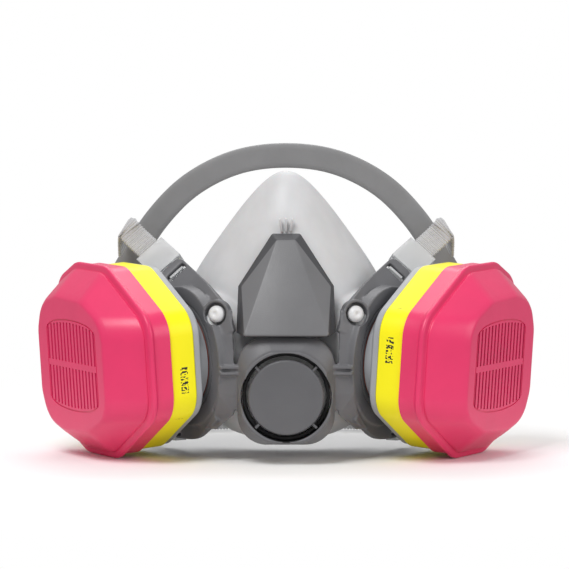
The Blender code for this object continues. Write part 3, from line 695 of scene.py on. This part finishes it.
def face_block(name, inward, back):
    """The face cup as a solid block, moved inward by its wall, with a point at its back."""
    bm = bmesh.new()
    loops = []
    for ring in (SEAL_LIP, REAR_EDGE, CHEEK_RING, NOSE_RING, FRONT_RING):
        right = [bm.verts.new(mm(*point)) for point in ring]
        left = [bm.verts.new(mm(-point[0], point[1], point[2])) for point in ring[-2:0:-1]]
        loops.append(right + left)
    skin(bm, loops)
    bm.faces.new(loops[-1])
    bmesh.ops.recalc_face_normals(bm, faces=bm.faces)
    smooth = evaluated(as_mesh(bm, name), ("SUBSURF", {"levels": 3, "render_levels": 3}))
    bm = bmesh.new()
    bm.from_mesh(smooth)
    bmesh.ops.recalc_face_normals(bm, faces=bm.faces)
    if min(bm.faces, key=lambda face: face.calc_center_median().y).normal.y > 0:
        bmesh.ops.reverse_faces(bm, faces=bm.faces)
    bm.normal_update()
    for vert in bm.verts:
        vert.co -= vert.normal * inward
    edges = [edge for edge in bm.edges if edge.is_boundary]
    tip = bm.verts.new(mm(0.0, back, 60.0))
    for edge in edges:
        bm.faces.new((*edge.verts, tip))
    return finished(bm, name)


def facepiece():
    """The soft cup that seals on the face, with a pod for each port and the valve's hole."""
    places = [port_frame(side) for side, _ in SIDES]
    shape = join(face_block("facepiece", 0.0, 30.0),
                 *[cylinder("pod", POD_RADIUS, -0.032, -0.0013, place) for place in places])
    shape = cut(shape, face_block("cavity", SHELL_WALL, 70.0),
                *[cylinder("bore", PORT_RADIUS + GAP, -0.040, 0.010, place) for place in places],
                cylinder("valve_hole", VALVE_HOLE, 0.010, 0.050, valve_frame()))
    piece("facepiece_skin", moulding(shape, SHELL_VOXEL, 4), "elastomer", "mask", "facepiece",
          smooth_angle=60)


def nose_ribs():
    """Three short raised ribs on the bridge of the nose, just above the plate."""
    for index, offset in enumerate((-1, 0, 1)):
        tilt = (Matrix.Translation(mm(RIB_PLACE[0] * offset, *RIB_PLACE[1:]))
                @ Matrix.Rotation(math.radians(9 * offset), 4, "Y")
                @ Matrix.Rotation(math.radians(12), 4, "X")
                @ Matrix.Translation((0.0, 0.0002, 0.0)))
        rib = eased(block("rib", -RIB_HALF, RIB_HALF, tilt), 0.0003)
        piece("nose_rib_" + str(index + 1), rib, "elastomer", "mask")


# ---- Valve and plate ----

# painted shade: plate faces whose normal turns further from the front than this get the darker grey
SHADED_SIDE_SLOPE = -0.62
GAP_RADIUS = HOUSING_BORE + 0.0004


def paint_gap_shade(item, inner, front):
    """Paint shade on a piece: its faces in the round gap between the valve's disc and its housing
    get the near-black shade finish.
    """
    inverse = valve_frame().inverted()

    def in_gap(centre, _):
        local = inverse @ centre
        return inner < math.hypot(local.x, local.y) < GAP_RADIUS and local.z < front

    repaint(item, "shade", in_gap)


def exhalation_valve():
    """Seat, flap and outer cover of the exhalation valve."""
    place = valve_frame()
    seat = turned("seat", [
        (0.0171, SEAT_FRONT), (0.0171, 0.0309), (0.0187, 0.0309), (0.0187, 0.0290),
        (0.0171, 0.0290), (0.0171, 0.0220), (0.0150, 0.0220), (0.0150, SEAT_FRONT),
    ])
    seat = join(seat, *around("spoke", (-0.0153, -0.0009, SEAT_FRONT - 0.0040),
                              (0.0153, 0.0009, SEAT_FRONT - 0.0020), 2, 0, 90))
    piece("valve_seat", moved(seat, place), "port_plastic", "mask", "exhalation_seat")
    flap = turned("flap", [
        (0.0, 0.0335), (0.0040, 0.0335), (0.0155, 0.0330), (0.0155, 0.0323), (0.0, 0.0323),
    ], 0.0001)
    piece("valve_flap", moved(flap, place), "valve_rubber", "exhalation_flap", "exhalation_flap")
    ring = turned("ring", [
        (0.0188, 0.0375), (0.0188, 0.0312), (0.0174, 0.0312), (0.0174, 0.0375),
    ])
    disc = turned("disc", [
        (0.0, DISC_FACE), (DISC_RADIUS - 0.0006, DISC_FACE), (DISC_RADIUS, 0.0424),
        (DISC_RADIUS, 0.0408), (0.0, 0.0408),
    ])
    disc = join(disc, *around("spoke", (0.0143, -0.0005, 0.0355), (0.0185, 0.0005, 0.0422),
                              4, 45, 90))
    item = piece("valve_disc", moved(join(ring, disc), place), "disc", "valve_cover",
                 "valve_cover", slot="dark_plastic")
    # painted shade: the disc's ring faces in the gap are near-black
    paint_gap_shade(item, 0.0168, 0.0378)


def front_plate():
    """The faceted plate over the nose, with its edges rounded, its middle facet proud and painted
    shade on its side faces.
    """
    item = piece("nose_plate", refined("front_plate", 0.0006), "plate", "mask", "front_plate",
                 slot="dark_plastic", smooth_angle=40)
    # painted shade on the plate's faces that turn away from the front
    repaint(item, "plate_side_shade", lambda centre, normal: normal.y > SHADED_SIDE_SLOPE)


# ---- Harness yoke ----

UPPER_ARM = [(27.0, -33.5, 55.0), (29.5, -30.5, 64.0), (38.5, -10.5, 72.0), (50.5, 3.0, 81.5)]
UPPER_ARM_FACE = [(0.35, -0.93, 0.0), (0.40, -0.90, 0.1), (0.38, -0.85, 0.35), (0.30, -0.76, 0.57)]
LOWER_ARM = [(30.6, -28.3, 23.5), (39.0, -10.5, 13.6), (48.0, 7.5, 12.2)]
LOWER_ARM_FACE = [(0.7, -0.7, 0.0), (0.85, -0.53, 0.0), (0.87, -0.50, 0.0)]
# Wing between the valve housing and a port rim: height, then inner and outer edge, millimetres.
WING = [(66.0, (23.0, -33.0), (34.0, -27.5)), (55.0, (22.6, -35.2), (31.0, -33.2)),
        (43.5, (22.4, -36.4), (29.0, -35.4)), (42.5, (20.0, -36.6), (29.0, -35.4)),
        (30.0, (20.0, -36.2), (29.0, -34.2)), (21.0, (22.5, -33.5), (31.0, -29.0)),
        (14.0, (30.0, -28.0), (35.0, -21.5))]
WING_THICKNESS = 0.0024
ARM_CORNER = 0.0035
THROUGH = 0.006
STUD_PLACE = (29.8, -31.2, 64.2)
STUD_FACE = (0.40, -0.90, 0.10)
YOKE_VOXEL = 0.00045
RIM_FACE = -0.0002


def rectangle(x, y):
    return [(-x, -y), (x, -y), (x, y), (-x, y)]


def stud_frame(side):
    """Frame of a stud: z out of the yoke."""
    face = mirrored(Vector(STUD_FACE), side).normalized()
    place = face.to_track_quat("Z", "Y").to_matrix().to_4x4()
    place.translation = mirrored(mm(*STUD_PLACE), side)
    return place


def arm_frame(path, face, side, back_from_end):
    """Frame on an arm near its end: x along the arm, z out of its face."""
    before, end = on_side(path[-2:], side)
    along = (end - before).normalized()
    across = mirrored(Vector(face[-1]), side).cross(along).normalized()
    place = Matrix((along, across, along.cross(across))).transposed().to_4x4()
    place.translation = end - along * back_from_end
    return place


def yoke_arm(path, face, side):
    """One arm of the yoke, with a rounded end and the slot for a buckle's hook."""
    run = rounded_run(with_face(on_side(path, side), on_side(face, side, direction)), 0.005, 5)
    arm = swept("arm", run, rectangle(ARM_WIDTH / 2, ARM_THICKNESS / 2))
    end = arm_frame(path, face, side, 0.0)
    reach = Vector((ARM_CORNER, ARM_CORNER, THROUGH))
    for edge in (-ARM_WIDTH / 2, ARM_WIDTH / 2):
        corner = block("corner", -reach, reach, end @ Matrix.Translation((0.0, edge, 0.0)))
        inside = edge - math.copysign(ARM_CORNER, edge)
        keep = cylinder("keep", ARM_CORNER, -THROUGH - MM, THROUGH + MM,
                        end @ Matrix.Translation((-ARM_CORNER, inside, 0.0)), 48)
        arm = cut(arm, cut(corner, keep))
    reach = Vector((SLOT_DEPTH / 2, SLOT_LENGTH / 2, THROUGH))
    return cut(arm, block("slot", -reach, reach, arm_frame(path, face, side, SLOT_FROM_END)))


def yoke_wing(side):
    """The sheet that joins the valve housing to a port rim."""
    rings = []
    half = Vector((0, WING_THICKNESS / 2, 0))
    for height, inner, outer in WING:
        near, far = on_side([(*inner, height), (*outer, height)], side)
        rings.append([near - half, far - half, far + half, near + half])
    return loft("wing", rings)


def valve_housing():
    """The hood round the valve: squarish where it meets the plate, round at its front ring."""
    half_height = (HOUSING_TOP - HOUSING_FOOT) / 2
    corners = [Vector(point) for point in rectangle(HOUSING_HALF, half_height)]
    centre = Vector((0.0, HOUSING_FOOT + half_height - VALVE_Z))
    square = [point + centre for point in rounded_outline(corners, 0.0125, 16)]
    rings = [[Vector((*point, depth)) for point in square] for depth in (-HOUSING_BACK, 0.0375)]
    for depth, radius in ((0.0424, 0.0209), (-HOUSING_FRONT, 0.0203)):
        rings.append([Vector((*(point.normalized() * radius), depth)) for point in square])
    return loft("housing", rings)


def harness_yoke():
    """The rigid yoke: valve housing, spine, port rims and four harness arms in one moulding."""
    place = valve_frame()
    shape = valve_housing()
    shape.transform(place)
    spine = swept("spine", with_face([mm(0, -31.6, 52), mm(0, -27.4, 68), mm(0, -24.2, 79)],
                                     [(0, -1, 0)] * 3), rectangle(0.007, 0.001))
    shape = join(shape, spine)
    for side, _ in SIDES:
        rim = cylinder("rim", RIM_RADIUS, -0.0055, RIM_FACE, port_frame(side))
        boss = cylinder("boss", 0.0062, -0.0030, 0.0012, stud_frame(side), 48)
        ribs = [block("rib", (-0.00375, -0.0007, -0.0006), (0.00375, 0.0007, 0.0006),
                      Matrix.Translation(mm(side * 24.3, -37.8, height)))
                for height in (39.2, 41.8)]
        shape = join(shape, rim, yoke_wing(side), yoke_arm(UPPER_ARM, UPPER_ARM_FACE, side),
                     boss, yoke_arm(LOWER_ARM, LOWER_ARM_FACE, side), *ribs)
        shape = cut(shape, cylinder("recess", 0.0050, -0.0016, 0.004, stud_frame(side), 48),
                    cylinder("pod_space", POD_RADIUS + GAP, -0.030, -0.0012, port_frame(side)),
                    cylinder("port_space", PORT_RADIUS + GAP, -0.020, 0.004, port_frame(side)))
    shape = cut(shape, cylinder("valve_bore", HOUSING_BORE, 0.020, 0.060, place))
    item = piece("yoke_moulding", moulding(shape, YOKE_VOXEL, 2), "dark_plastic", "mask",
                 "harness_yoke", smooth_angle=60)
    # painted shade: the yoke's faces in the valve's gap are near-black
    paint_gap_shade(item, 0.0170, 0.0424)
    for side, name in SIDES:
        stud = turned("stud", [
            (0.0, 0.0014), (0.0012, 0.0022), (0.0024, 0.0020), (0.0036, 0.0006),
            (0.0036, -0.0013), (0.0, -0.0013),
        ], 0.0005, 48)
        piece("stud_" + name, moved(stud, stud_frame(side)), "port_plastic", "mask",
              "yoke_stud_" + name)


# ---- Ports ----


def ports():
    """The bayonet ports with their gaskets and inhalation flaps."""
    port = turned("port", [
        (PORT_RADIUS, -0.0003), (PORT_RADIUS, -0.0098), (0.0220, -0.0108), (0.0212, -0.0108),
        (0.0212, -0.0045), (0.0074, -0.0045), (0.0074, 0.0056),
        (HUB_RADIUS, 0.0056), (HUB_RADIUS, -0.0026), (0.0212, -0.0026), (0.0212, -0.0003),
    ])
    port = join(port, *around("lug", (LUG_RADIUS - 0.0034, -0.0035, 0.0028),
                              (LUG_RADIUS, 0.0035, 0.0054), LUG_COUNT, 60, 360 / LUG_COUNT))
    gasket = turned("gasket", [
        (0.0208, -0.0004), (0.0208, -0.0023), (0.0128, -0.0023), (0.0128, -0.0004),
        (0.0148, 0.0), (0.0188, 0.0),
    ])
    flap = turned("flap", [
        (0.0, -0.0049), (0.0115, -0.0049), (0.0115, -0.0056), (0.0030, -0.0064), (0.0, -0.0064),
    ], 0.0001)
    kinds = (("port_", port, "dark_plastic", "inhalation_port_", "mask"),
             ("gasket_", gasket, "gasket_rubber", "port_gasket_", "mask"),
             ("inhaler_flap_", flap, "valve_rubber", "inhalation_flap_", None))
    for side, name in SIDES:
        for label, mesh, finish, node, body in kinds:
            piece(label + name, moved(mesh, port_frame(side)), finish, body or node + name,
                  node + name)


# ---- Cartridges ----


def cartridge_ring(height, inset, towards_top=0.0):
    """The cartridge's outline at a height, between its rim (0) and its flat top (1)."""
    half = [
        Vector(rim).lerp(Vector(top), towards_top) for rim, top in zip(RIM_CORNERS, TOP_CORNERS)
    ]
    corners = half + [Vector((point.x, -point.y)) for point in reversed(half)]
    shrink = 1.0 - inset / RIM_HALF_HEIGHT
    corners = [OUTLINE_CENTRE + (point - OUTLINE_CENTRE) * shrink for point in corners]
    outline = rounded_outline(corners, CORNER_RADIUS * shrink)
    return [Vector((point.x, point.y, height)) for point in outline]


def stacked(stations, reach):
    """Rings at (height, inset, towards_top) stations, with the corners between them eased."""
    run = rounded_run([Vector((height, inset, towards_top * TAPER_REACH))
                       for height, inset, towards_top in stations], reach, 4)
    return [cartridge_ring(height, inset, taper / TAPER_REACH) for height, inset, taper in run]


GROOVE_MARGIN = 0.0012
GROOVE_HALF = 0.00028
GROOVE_DEPTH = 0.0004
GROOVE_SHOULDER = 0.0022
ARCH_STEPS = 12


def grille_groove():
    """The cutter of the fine line that frames the grille, arched above and below it."""
    half_width = GRILLE["Pitch"] * GRILLE["Columns"] / 2 + GROOVE_MARGIN - GRILLE["Pitch"] / 2
    arch = []
    for step in range(-ARCH_STEPS, ARCH_STEPS + 1):
        share = step / ARCH_STEPS
        height = (GRILLE["Half Height"] + GROOVE_MARGIN) * (1 - GRILLE["Arch"] * share ** 2)
        arch.append(Vector((half_width * share, height - GROOVE_SHOULDER * share ** 8)))
    outline = arch + [-point for point in arch]
    centre = Vector((GRILLE_CENTRE_X, 0.0))
    rings = []
    for index, point in enumerate(outline):
        tangent = (outline[(index + 1) % len(outline)] - outline[index - 1]).normalized()
        across = Vector((-tangent.y, tangent.x)) * GROOVE_HALF
        rings.append([Vector((*(centre + point + across * side), COVER_TOP + height))
                      for side, height in ((-1, -GROOVE_DEPTH), (1, -GROOVE_DEPTH), (1, MM),
                                           (-1, MM))])
    return loft("groove", rings, hollow=True)


def filter_cover():
    """The domed cover: a lipped rim, sloping facets and a flat top with the slit grille."""
    outer = stacked([
        (0.0204, 0.0014, 0.0), (0.0284, 0.0014, 0.0), (0.0290, 0.0, 0.0), (LIP_TOP, 0.0, 0.0),
        (0.0314, 0.0030, 0.0), (0.0323, 0.0024, 0.03), (0.0442, 0.0, 0.94),
        (0.0456, 0.0008, 1.0), (COVER_TOP, 0.0020, 1.0), (COVER_TOP, 0.0060, 1.0),
    ], 0.0010)
    inner = stacked([
        (COVER_TOP - WALL, 0.0036, 1.0), (0.0434, 0.0018, 0.94), (0.0312, 0.0046, 0.02),
        (0.0284, 0.0031, 0.0), (0.0204, 0.0031, 0.0),
    ], 0.0006)
    bm = bmesh.new()
    outside, inside = ([[bm.verts.new(point) for point in ring] for ring in rings]
                       for rings in (outer, inner))
    skin(bm, outside)
    skin(bm, inside + outside[:1])
    bm.faces.new(outside[-1])
    bm.faces.new(list(reversed(inside[0])))
    slits = grown(bpy.data.meshes.new("slits"), slit_tree(), GRILLE, "cover_magenta")
    slits.transform(Matrix.Translation((GRILLE_CENTRE_X, 0.0, COVER_TOP)))
    return cut(finished(bm, "filter_cover"), slits, grille_groove())


COLLAR_RADIUS = 0.0214
BAND_INSET = 0.0024
BED_INSET = 0.0046
PAD_INSET = 0.0040


def cartridge_base():
    """The grey foot of a cartridge with the keyed socket for the bayonet."""
    foot = loft("base", stacked([
        (GAP, 0.0129, 0.0), (0.0032, 0.0062, 0.0), (0.0054, 0.0031, 0.0),
        (BASE_TOP, 0.0031, 0.0),
    ], 0.0006))
    foot = join(foot, cylinder("collar", COLLAR_RADIUS, GAP, 0.0062))
    room = loft("room", stacked([
        (0.0025, 0.0140, 0.0), (0.0045, 0.0070, 0.0), (BASE_TOP + 0.001, 0.0052, 0.0),
    ], 0.0006))
    socket = cylinder("socket", HUB_RADIUS + 2 * GAP, -0.002, 0.006)
    notches = around("notch", (LUG_RADIUS - 0.0074, -0.0039, -0.003),
                     (LUG_RADIUS + 0.0006, 0.0039, 0.003), LUG_COUNT, 20, 360 / LUG_COUNT)
    return cut(foot, room, join(socket, *notches))


def cartridge_band():
    """The labelled band round a cartridge, with the place along its front kept for the print."""
    foot = BASE_TOP + GAP
    inner = BAND_INSET + WALL
    bevel = 0.0004
    rings = stacked([(foot, BAND_INSET + bevel, 0.0), (foot + bevel, BAND_INSET, 0.0),
                     (BAND_TOP - bevel, BAND_INSET, 0.0), (BAND_TOP, BAND_INSET + bevel, 0.0),
                     (BAND_TOP, inner, 0.0), (foot, inner, 0.0)], bevel)
    return loft("band", rings, hollow=True, values={
        "along": [[point.y if point.x > FRONT_SIDE else 1.0 for point in ring] for ring in rings],
        "height": [[point.z for point in ring] for ring in rings],
    })


def cartridges():
    """Both cartridges, each riding on its own body."""
    bed = loft("bed", [cartridge_ring(height, BED_INSET) for height in (0.0087, 0.0196)])
    pad = loft("pad", stacked([(0.0202, BED_INSET, 0.0), (0.0206, PAD_INSET, 0.0),
                               (0.0268, PAD_INSET, 0.0), (0.0272, BED_INSET, 0.0)], 0.0004))
    kinds = (
        ("base_shell_", cartridge_base(), "base_plastic", "cartridge_base_"),
        ("label_band_", cartridge_band(), "band_yellow", "cartridge_band_"),
        ("granule_bed_", bed, "sorbent", "sorbent_bed_"),
        ("felt_pad_", pad, "filter_media", "filter_pad_"),
        ("dome_cover_", filter_cover(), "cover_magenta", "filter_cover_"),
    )
    for side, name in SIDES:
        for label, mesh, finish, node in kinds:
            piece(label + name, moved(mesh, port_frame(side)), finish, "cartridge_" + name,
                  node + name)


# ---- Straps, buckles and cradle ----

WEB_START = (0.0125, 0.0355)
UPPER_WEB = [(70.5, 25.5, 98.0), (71.8, 33.0, 93.0), (72.0, 38.5, 86.5)]
UPPER_WEB_FACE = [(0.75, -0.15, 0.65), (0.92, 0.10, 0.38), (0.94, 0.10, 0.33)]
NECK_START = (0.0125, 0.0240)
NECK_ROUTE = [(59.5, 40.0, 7.6), (61.5, 53.0, 5.8), (57.0, 70.0, 5.8), (42.0, 84.0, 5.8),
              (20.0, 90.0, 5.8)]
CRADLE_ROUTE = [(75.0, 70.0), (69.5, 80.0), (57.5, 99.0), (42.0, 114.5), (22.0, 124.5),
                (0.0, 127.5)]
CRADLE_Y = 46.0
CRADLE_WIDTH = 0.011
CRADLE_THICKNESS = 0.002


def smooth_path(points, steps):
    """A Catmull-Rom curve through the given points, with steps spans between neighbours."""
    result = []
    for p0, p1, p2, p3 in zip(points[:1] + points, points, points[1:],
                              points[2:] + points[-1:]):
        for step in range(steps):
            t = step / steps
            result.append((2 * p1 + (p2 - p0) * t + (2 * p0 - 5 * p1 + 4 * p2 - p3) * t * t
                           + (3 * p1 - p0 - 3 * p2 + p3) * t * t * t) / 2)
    result.append(points[-1].copy())
    return result


def web_points(place, starts, route, side):
    """Points of a webbing, from its buckle on an arm and then along its route."""
    return [place @ Vector((reach, 0, WEB_LEVEL)) for reach in starts] + on_side(route, side)


def webbing(name, run, body, node):
    """A strap of ribbed elastic webbing along a run."""
    web = swept(name, run, flat_section(WEB_WIDTH, STRAP_THICKNESS))
    piece(name, grown(web, rib_tree(), RIBS, "webbing"), "webbing", body, node, smooth_angle=60)


def straps():
    """Webbing of the head harness and of the neck straps."""
    for side, name in SIDES:
        place = arm_frame(UPPER_ARM, UPPER_ARM_FACE, side, SLOT_FROM_END)
        normals = [place.to_3x3().col[2]] * len(WEB_START)
        normals += on_side(UPPER_WEB_FACE, side, direction)
        run = rounded_run(with_face(web_points(place, WEB_START, UPPER_WEB, side), normals),
                          0.004, 5)
        webbing("upper_web_" + name, divided(run, 0.0003), "head_harness",
                "upper_webbing_" + name)

        place = arm_frame(LOWER_ARM, LOWER_ARM_FACE, side, SLOT_FROM_END)
        route = smooth_path(web_points(place, NECK_START, NECK_ROUTE, side), 12)
        tangents = [after - before for before, after
                    in zip(route[:1] + route[:-1], route[1:] + route[-1:])]
        normals = [tangent.cross(Vector((0, 0, 1))).normalized() * side for tangent in tangents]
        webbing("neck_web_" + name, divided(with_face(route, normals), 0.0004),
                "neck_strap_" + name, "neck_strap_" + name)


def head_cradle():
    """The flat arched band behind the crown, in one piece from side to side."""
    half = [mm(x, CRADLE_Y, z) for x, z in CRADLE_ROUTE]
    route = smooth_path(half + [mirrored(point, -1) for point in reversed(half[:-1])], 12)
    band = swept("cradle", with_face(route, [(0, -1, 0)] * len(route)),
                 flat_section(CRADLE_WIDTH, CRADLE_THICKNESS))
    piece("crown_band", band, "strap", "head_harness", "head_cradle", slot="dark_plastic")


def buckles_and_clasps():
    """The clear buckles and the two halves of the neck clasp, with rounded edges."""
    for side, name in SIDES:
        for level, body in (("upper", "head_harness"), ("lower", "neck_strap_" + name)):
            node = level + "_buckle_" + name
            piece(level + "_clear_buckle_" + name, refined(node, 0.00035), "clear_plastic", body,
                  node)
    for kind, name in (("hook", "left"), ("loop", "right")):
        piece("neck_" + kind, refined("clasp_" + kind, 0.0005), "dark_plastic",
              "neck_strap_" + name, "clasp_" + kind)


# ---- Studio ----

VIEW_DISTANCE = 2.0
VIEW_HEIGHT = math.radians(5)
VIEW_TARGET = Vector((-0.0007, -0.044, 0.076))
VIEW_WIDTH = 0.2445
SENSOR = 36.0
AIR_STRENGTH = 0.50
PAPER_WHITE = 1.0
PAPER_TONE = 0.93
PAPER_WHOLE = 0.11
PAPER_GONE = 0.30


def faded_paper(name, tone):
    """White paper that fades to nothing away from the middle of the floor."""
    finish, tree, shader = shader_of(name, Roughness=0.9, Specular_IOR_Level=0.1)
    shader.inputs["Base Color"].default_value = (tone, tone, tone, 1.0)
    reach = add(tree, "ShaderNodeVectorMath", {0: object_place(tree)}, operation="LENGTH")
    fade = add(tree, "ShaderNodeMapRange", {
        "Value": reach.outputs["Value"], "From Min": PAPER_WHOLE, "From Max": PAPER_GONE,
    }, interpolation_type="SMOOTHSTEP")
    clear = add(tree, "ShaderNodeBsdfTransparent")
    mixed = add(tree, "ShaderNodeMixShader", {"Fac": fade.outputs["Result"],
                                              1: shader.outputs["BSDF"], 2: clear.outputs["BSDF"]})
    tree.links.new(mixed.outputs["Shader"], tree.nodes["Material Output"].inputs["Surface"])
    return finish


def studio_air():
    """A world that lights the mask softly and looks white."""
    world = bpy.data.worlds.new("studio_air")
    world.use_nodes = True
    tree = world.node_tree
    white, air = (add(tree, "ShaderNodeBackground", {"Color": (1.0, 1.0, 1.0, 1.0),
                                                     "Strength": strength})
                  for strength in (PAPER_WHITE, AIR_STRENGTH))
    seen = add(tree, "ShaderNodeMixShader", {
        "Fac": add(tree, "ShaderNodeLightPath").outputs["Is Camera Ray"],
        1: air.outputs["Background"], 2: white.outputs["Background"]})
    tree.links.new(seen.outputs["Shader"], tree.nodes["World Output"].inputs["Surface"])
    bpy.context.scene.world = world


def studio():
    """A pale floor, soft lights and the camera."""
    bm = bmesh.new()
    bmesh.ops.create_grid(bm, x_segments=1, y_segments=1, size=3.0)
    mesh = finished(bm, "studio_floor")
    mesh.materials.append(faded_paper("floor_paper", PAPER_TONE))
    placed("studio_floor", mesh)
    studio_air()

    for name, place, size, power in (
        ("key_light", (-0.35, -0.70, 1.00), 0.50, 8.5),
        ("fill_light", (0.75, -0.55, 0.45), 0.50, 2.2),
        ("rim_light", (0.0, 0.55, 0.75), 0.60, 3.0),
    ):
        light = bpy.data.lights.new(name, "AREA")
        light.energy = power
        light.size = size
        lamp = placed(name, light)
        lamp.location = place
        lamp.rotation_euler = (VIEW_TARGET - Vector(place)).to_track_quat("-Z", "Y").to_euler()

    lens = bpy.data.cameras.new("view_lens")
    lens.sensor_width = SENSOR
    lens.lens = SENSOR * VIEW_DISTANCE / VIEW_WIDTH
    camera = placed("view_camera", lens)
    back = Vector((0.0, -math.cos(VIEW_HEIGHT), math.sin(VIEW_HEIGHT)))
    camera.location = VIEW_TARGET + back * VIEW_DISTANCE
    camera.rotation_euler = (-back).to_track_quat("-Z", "Y").to_euler()
    bpy.context.scene.camera = camera
    bpy.context.scene.view_settings.view_transform = "Standard"


facepiece()
nose_ribs()
exhalation_valve()
front_plate()
harness_yoke()
ports()
cartridges()
straps()
head_cradle()
buckles_and_clasps()
studio()
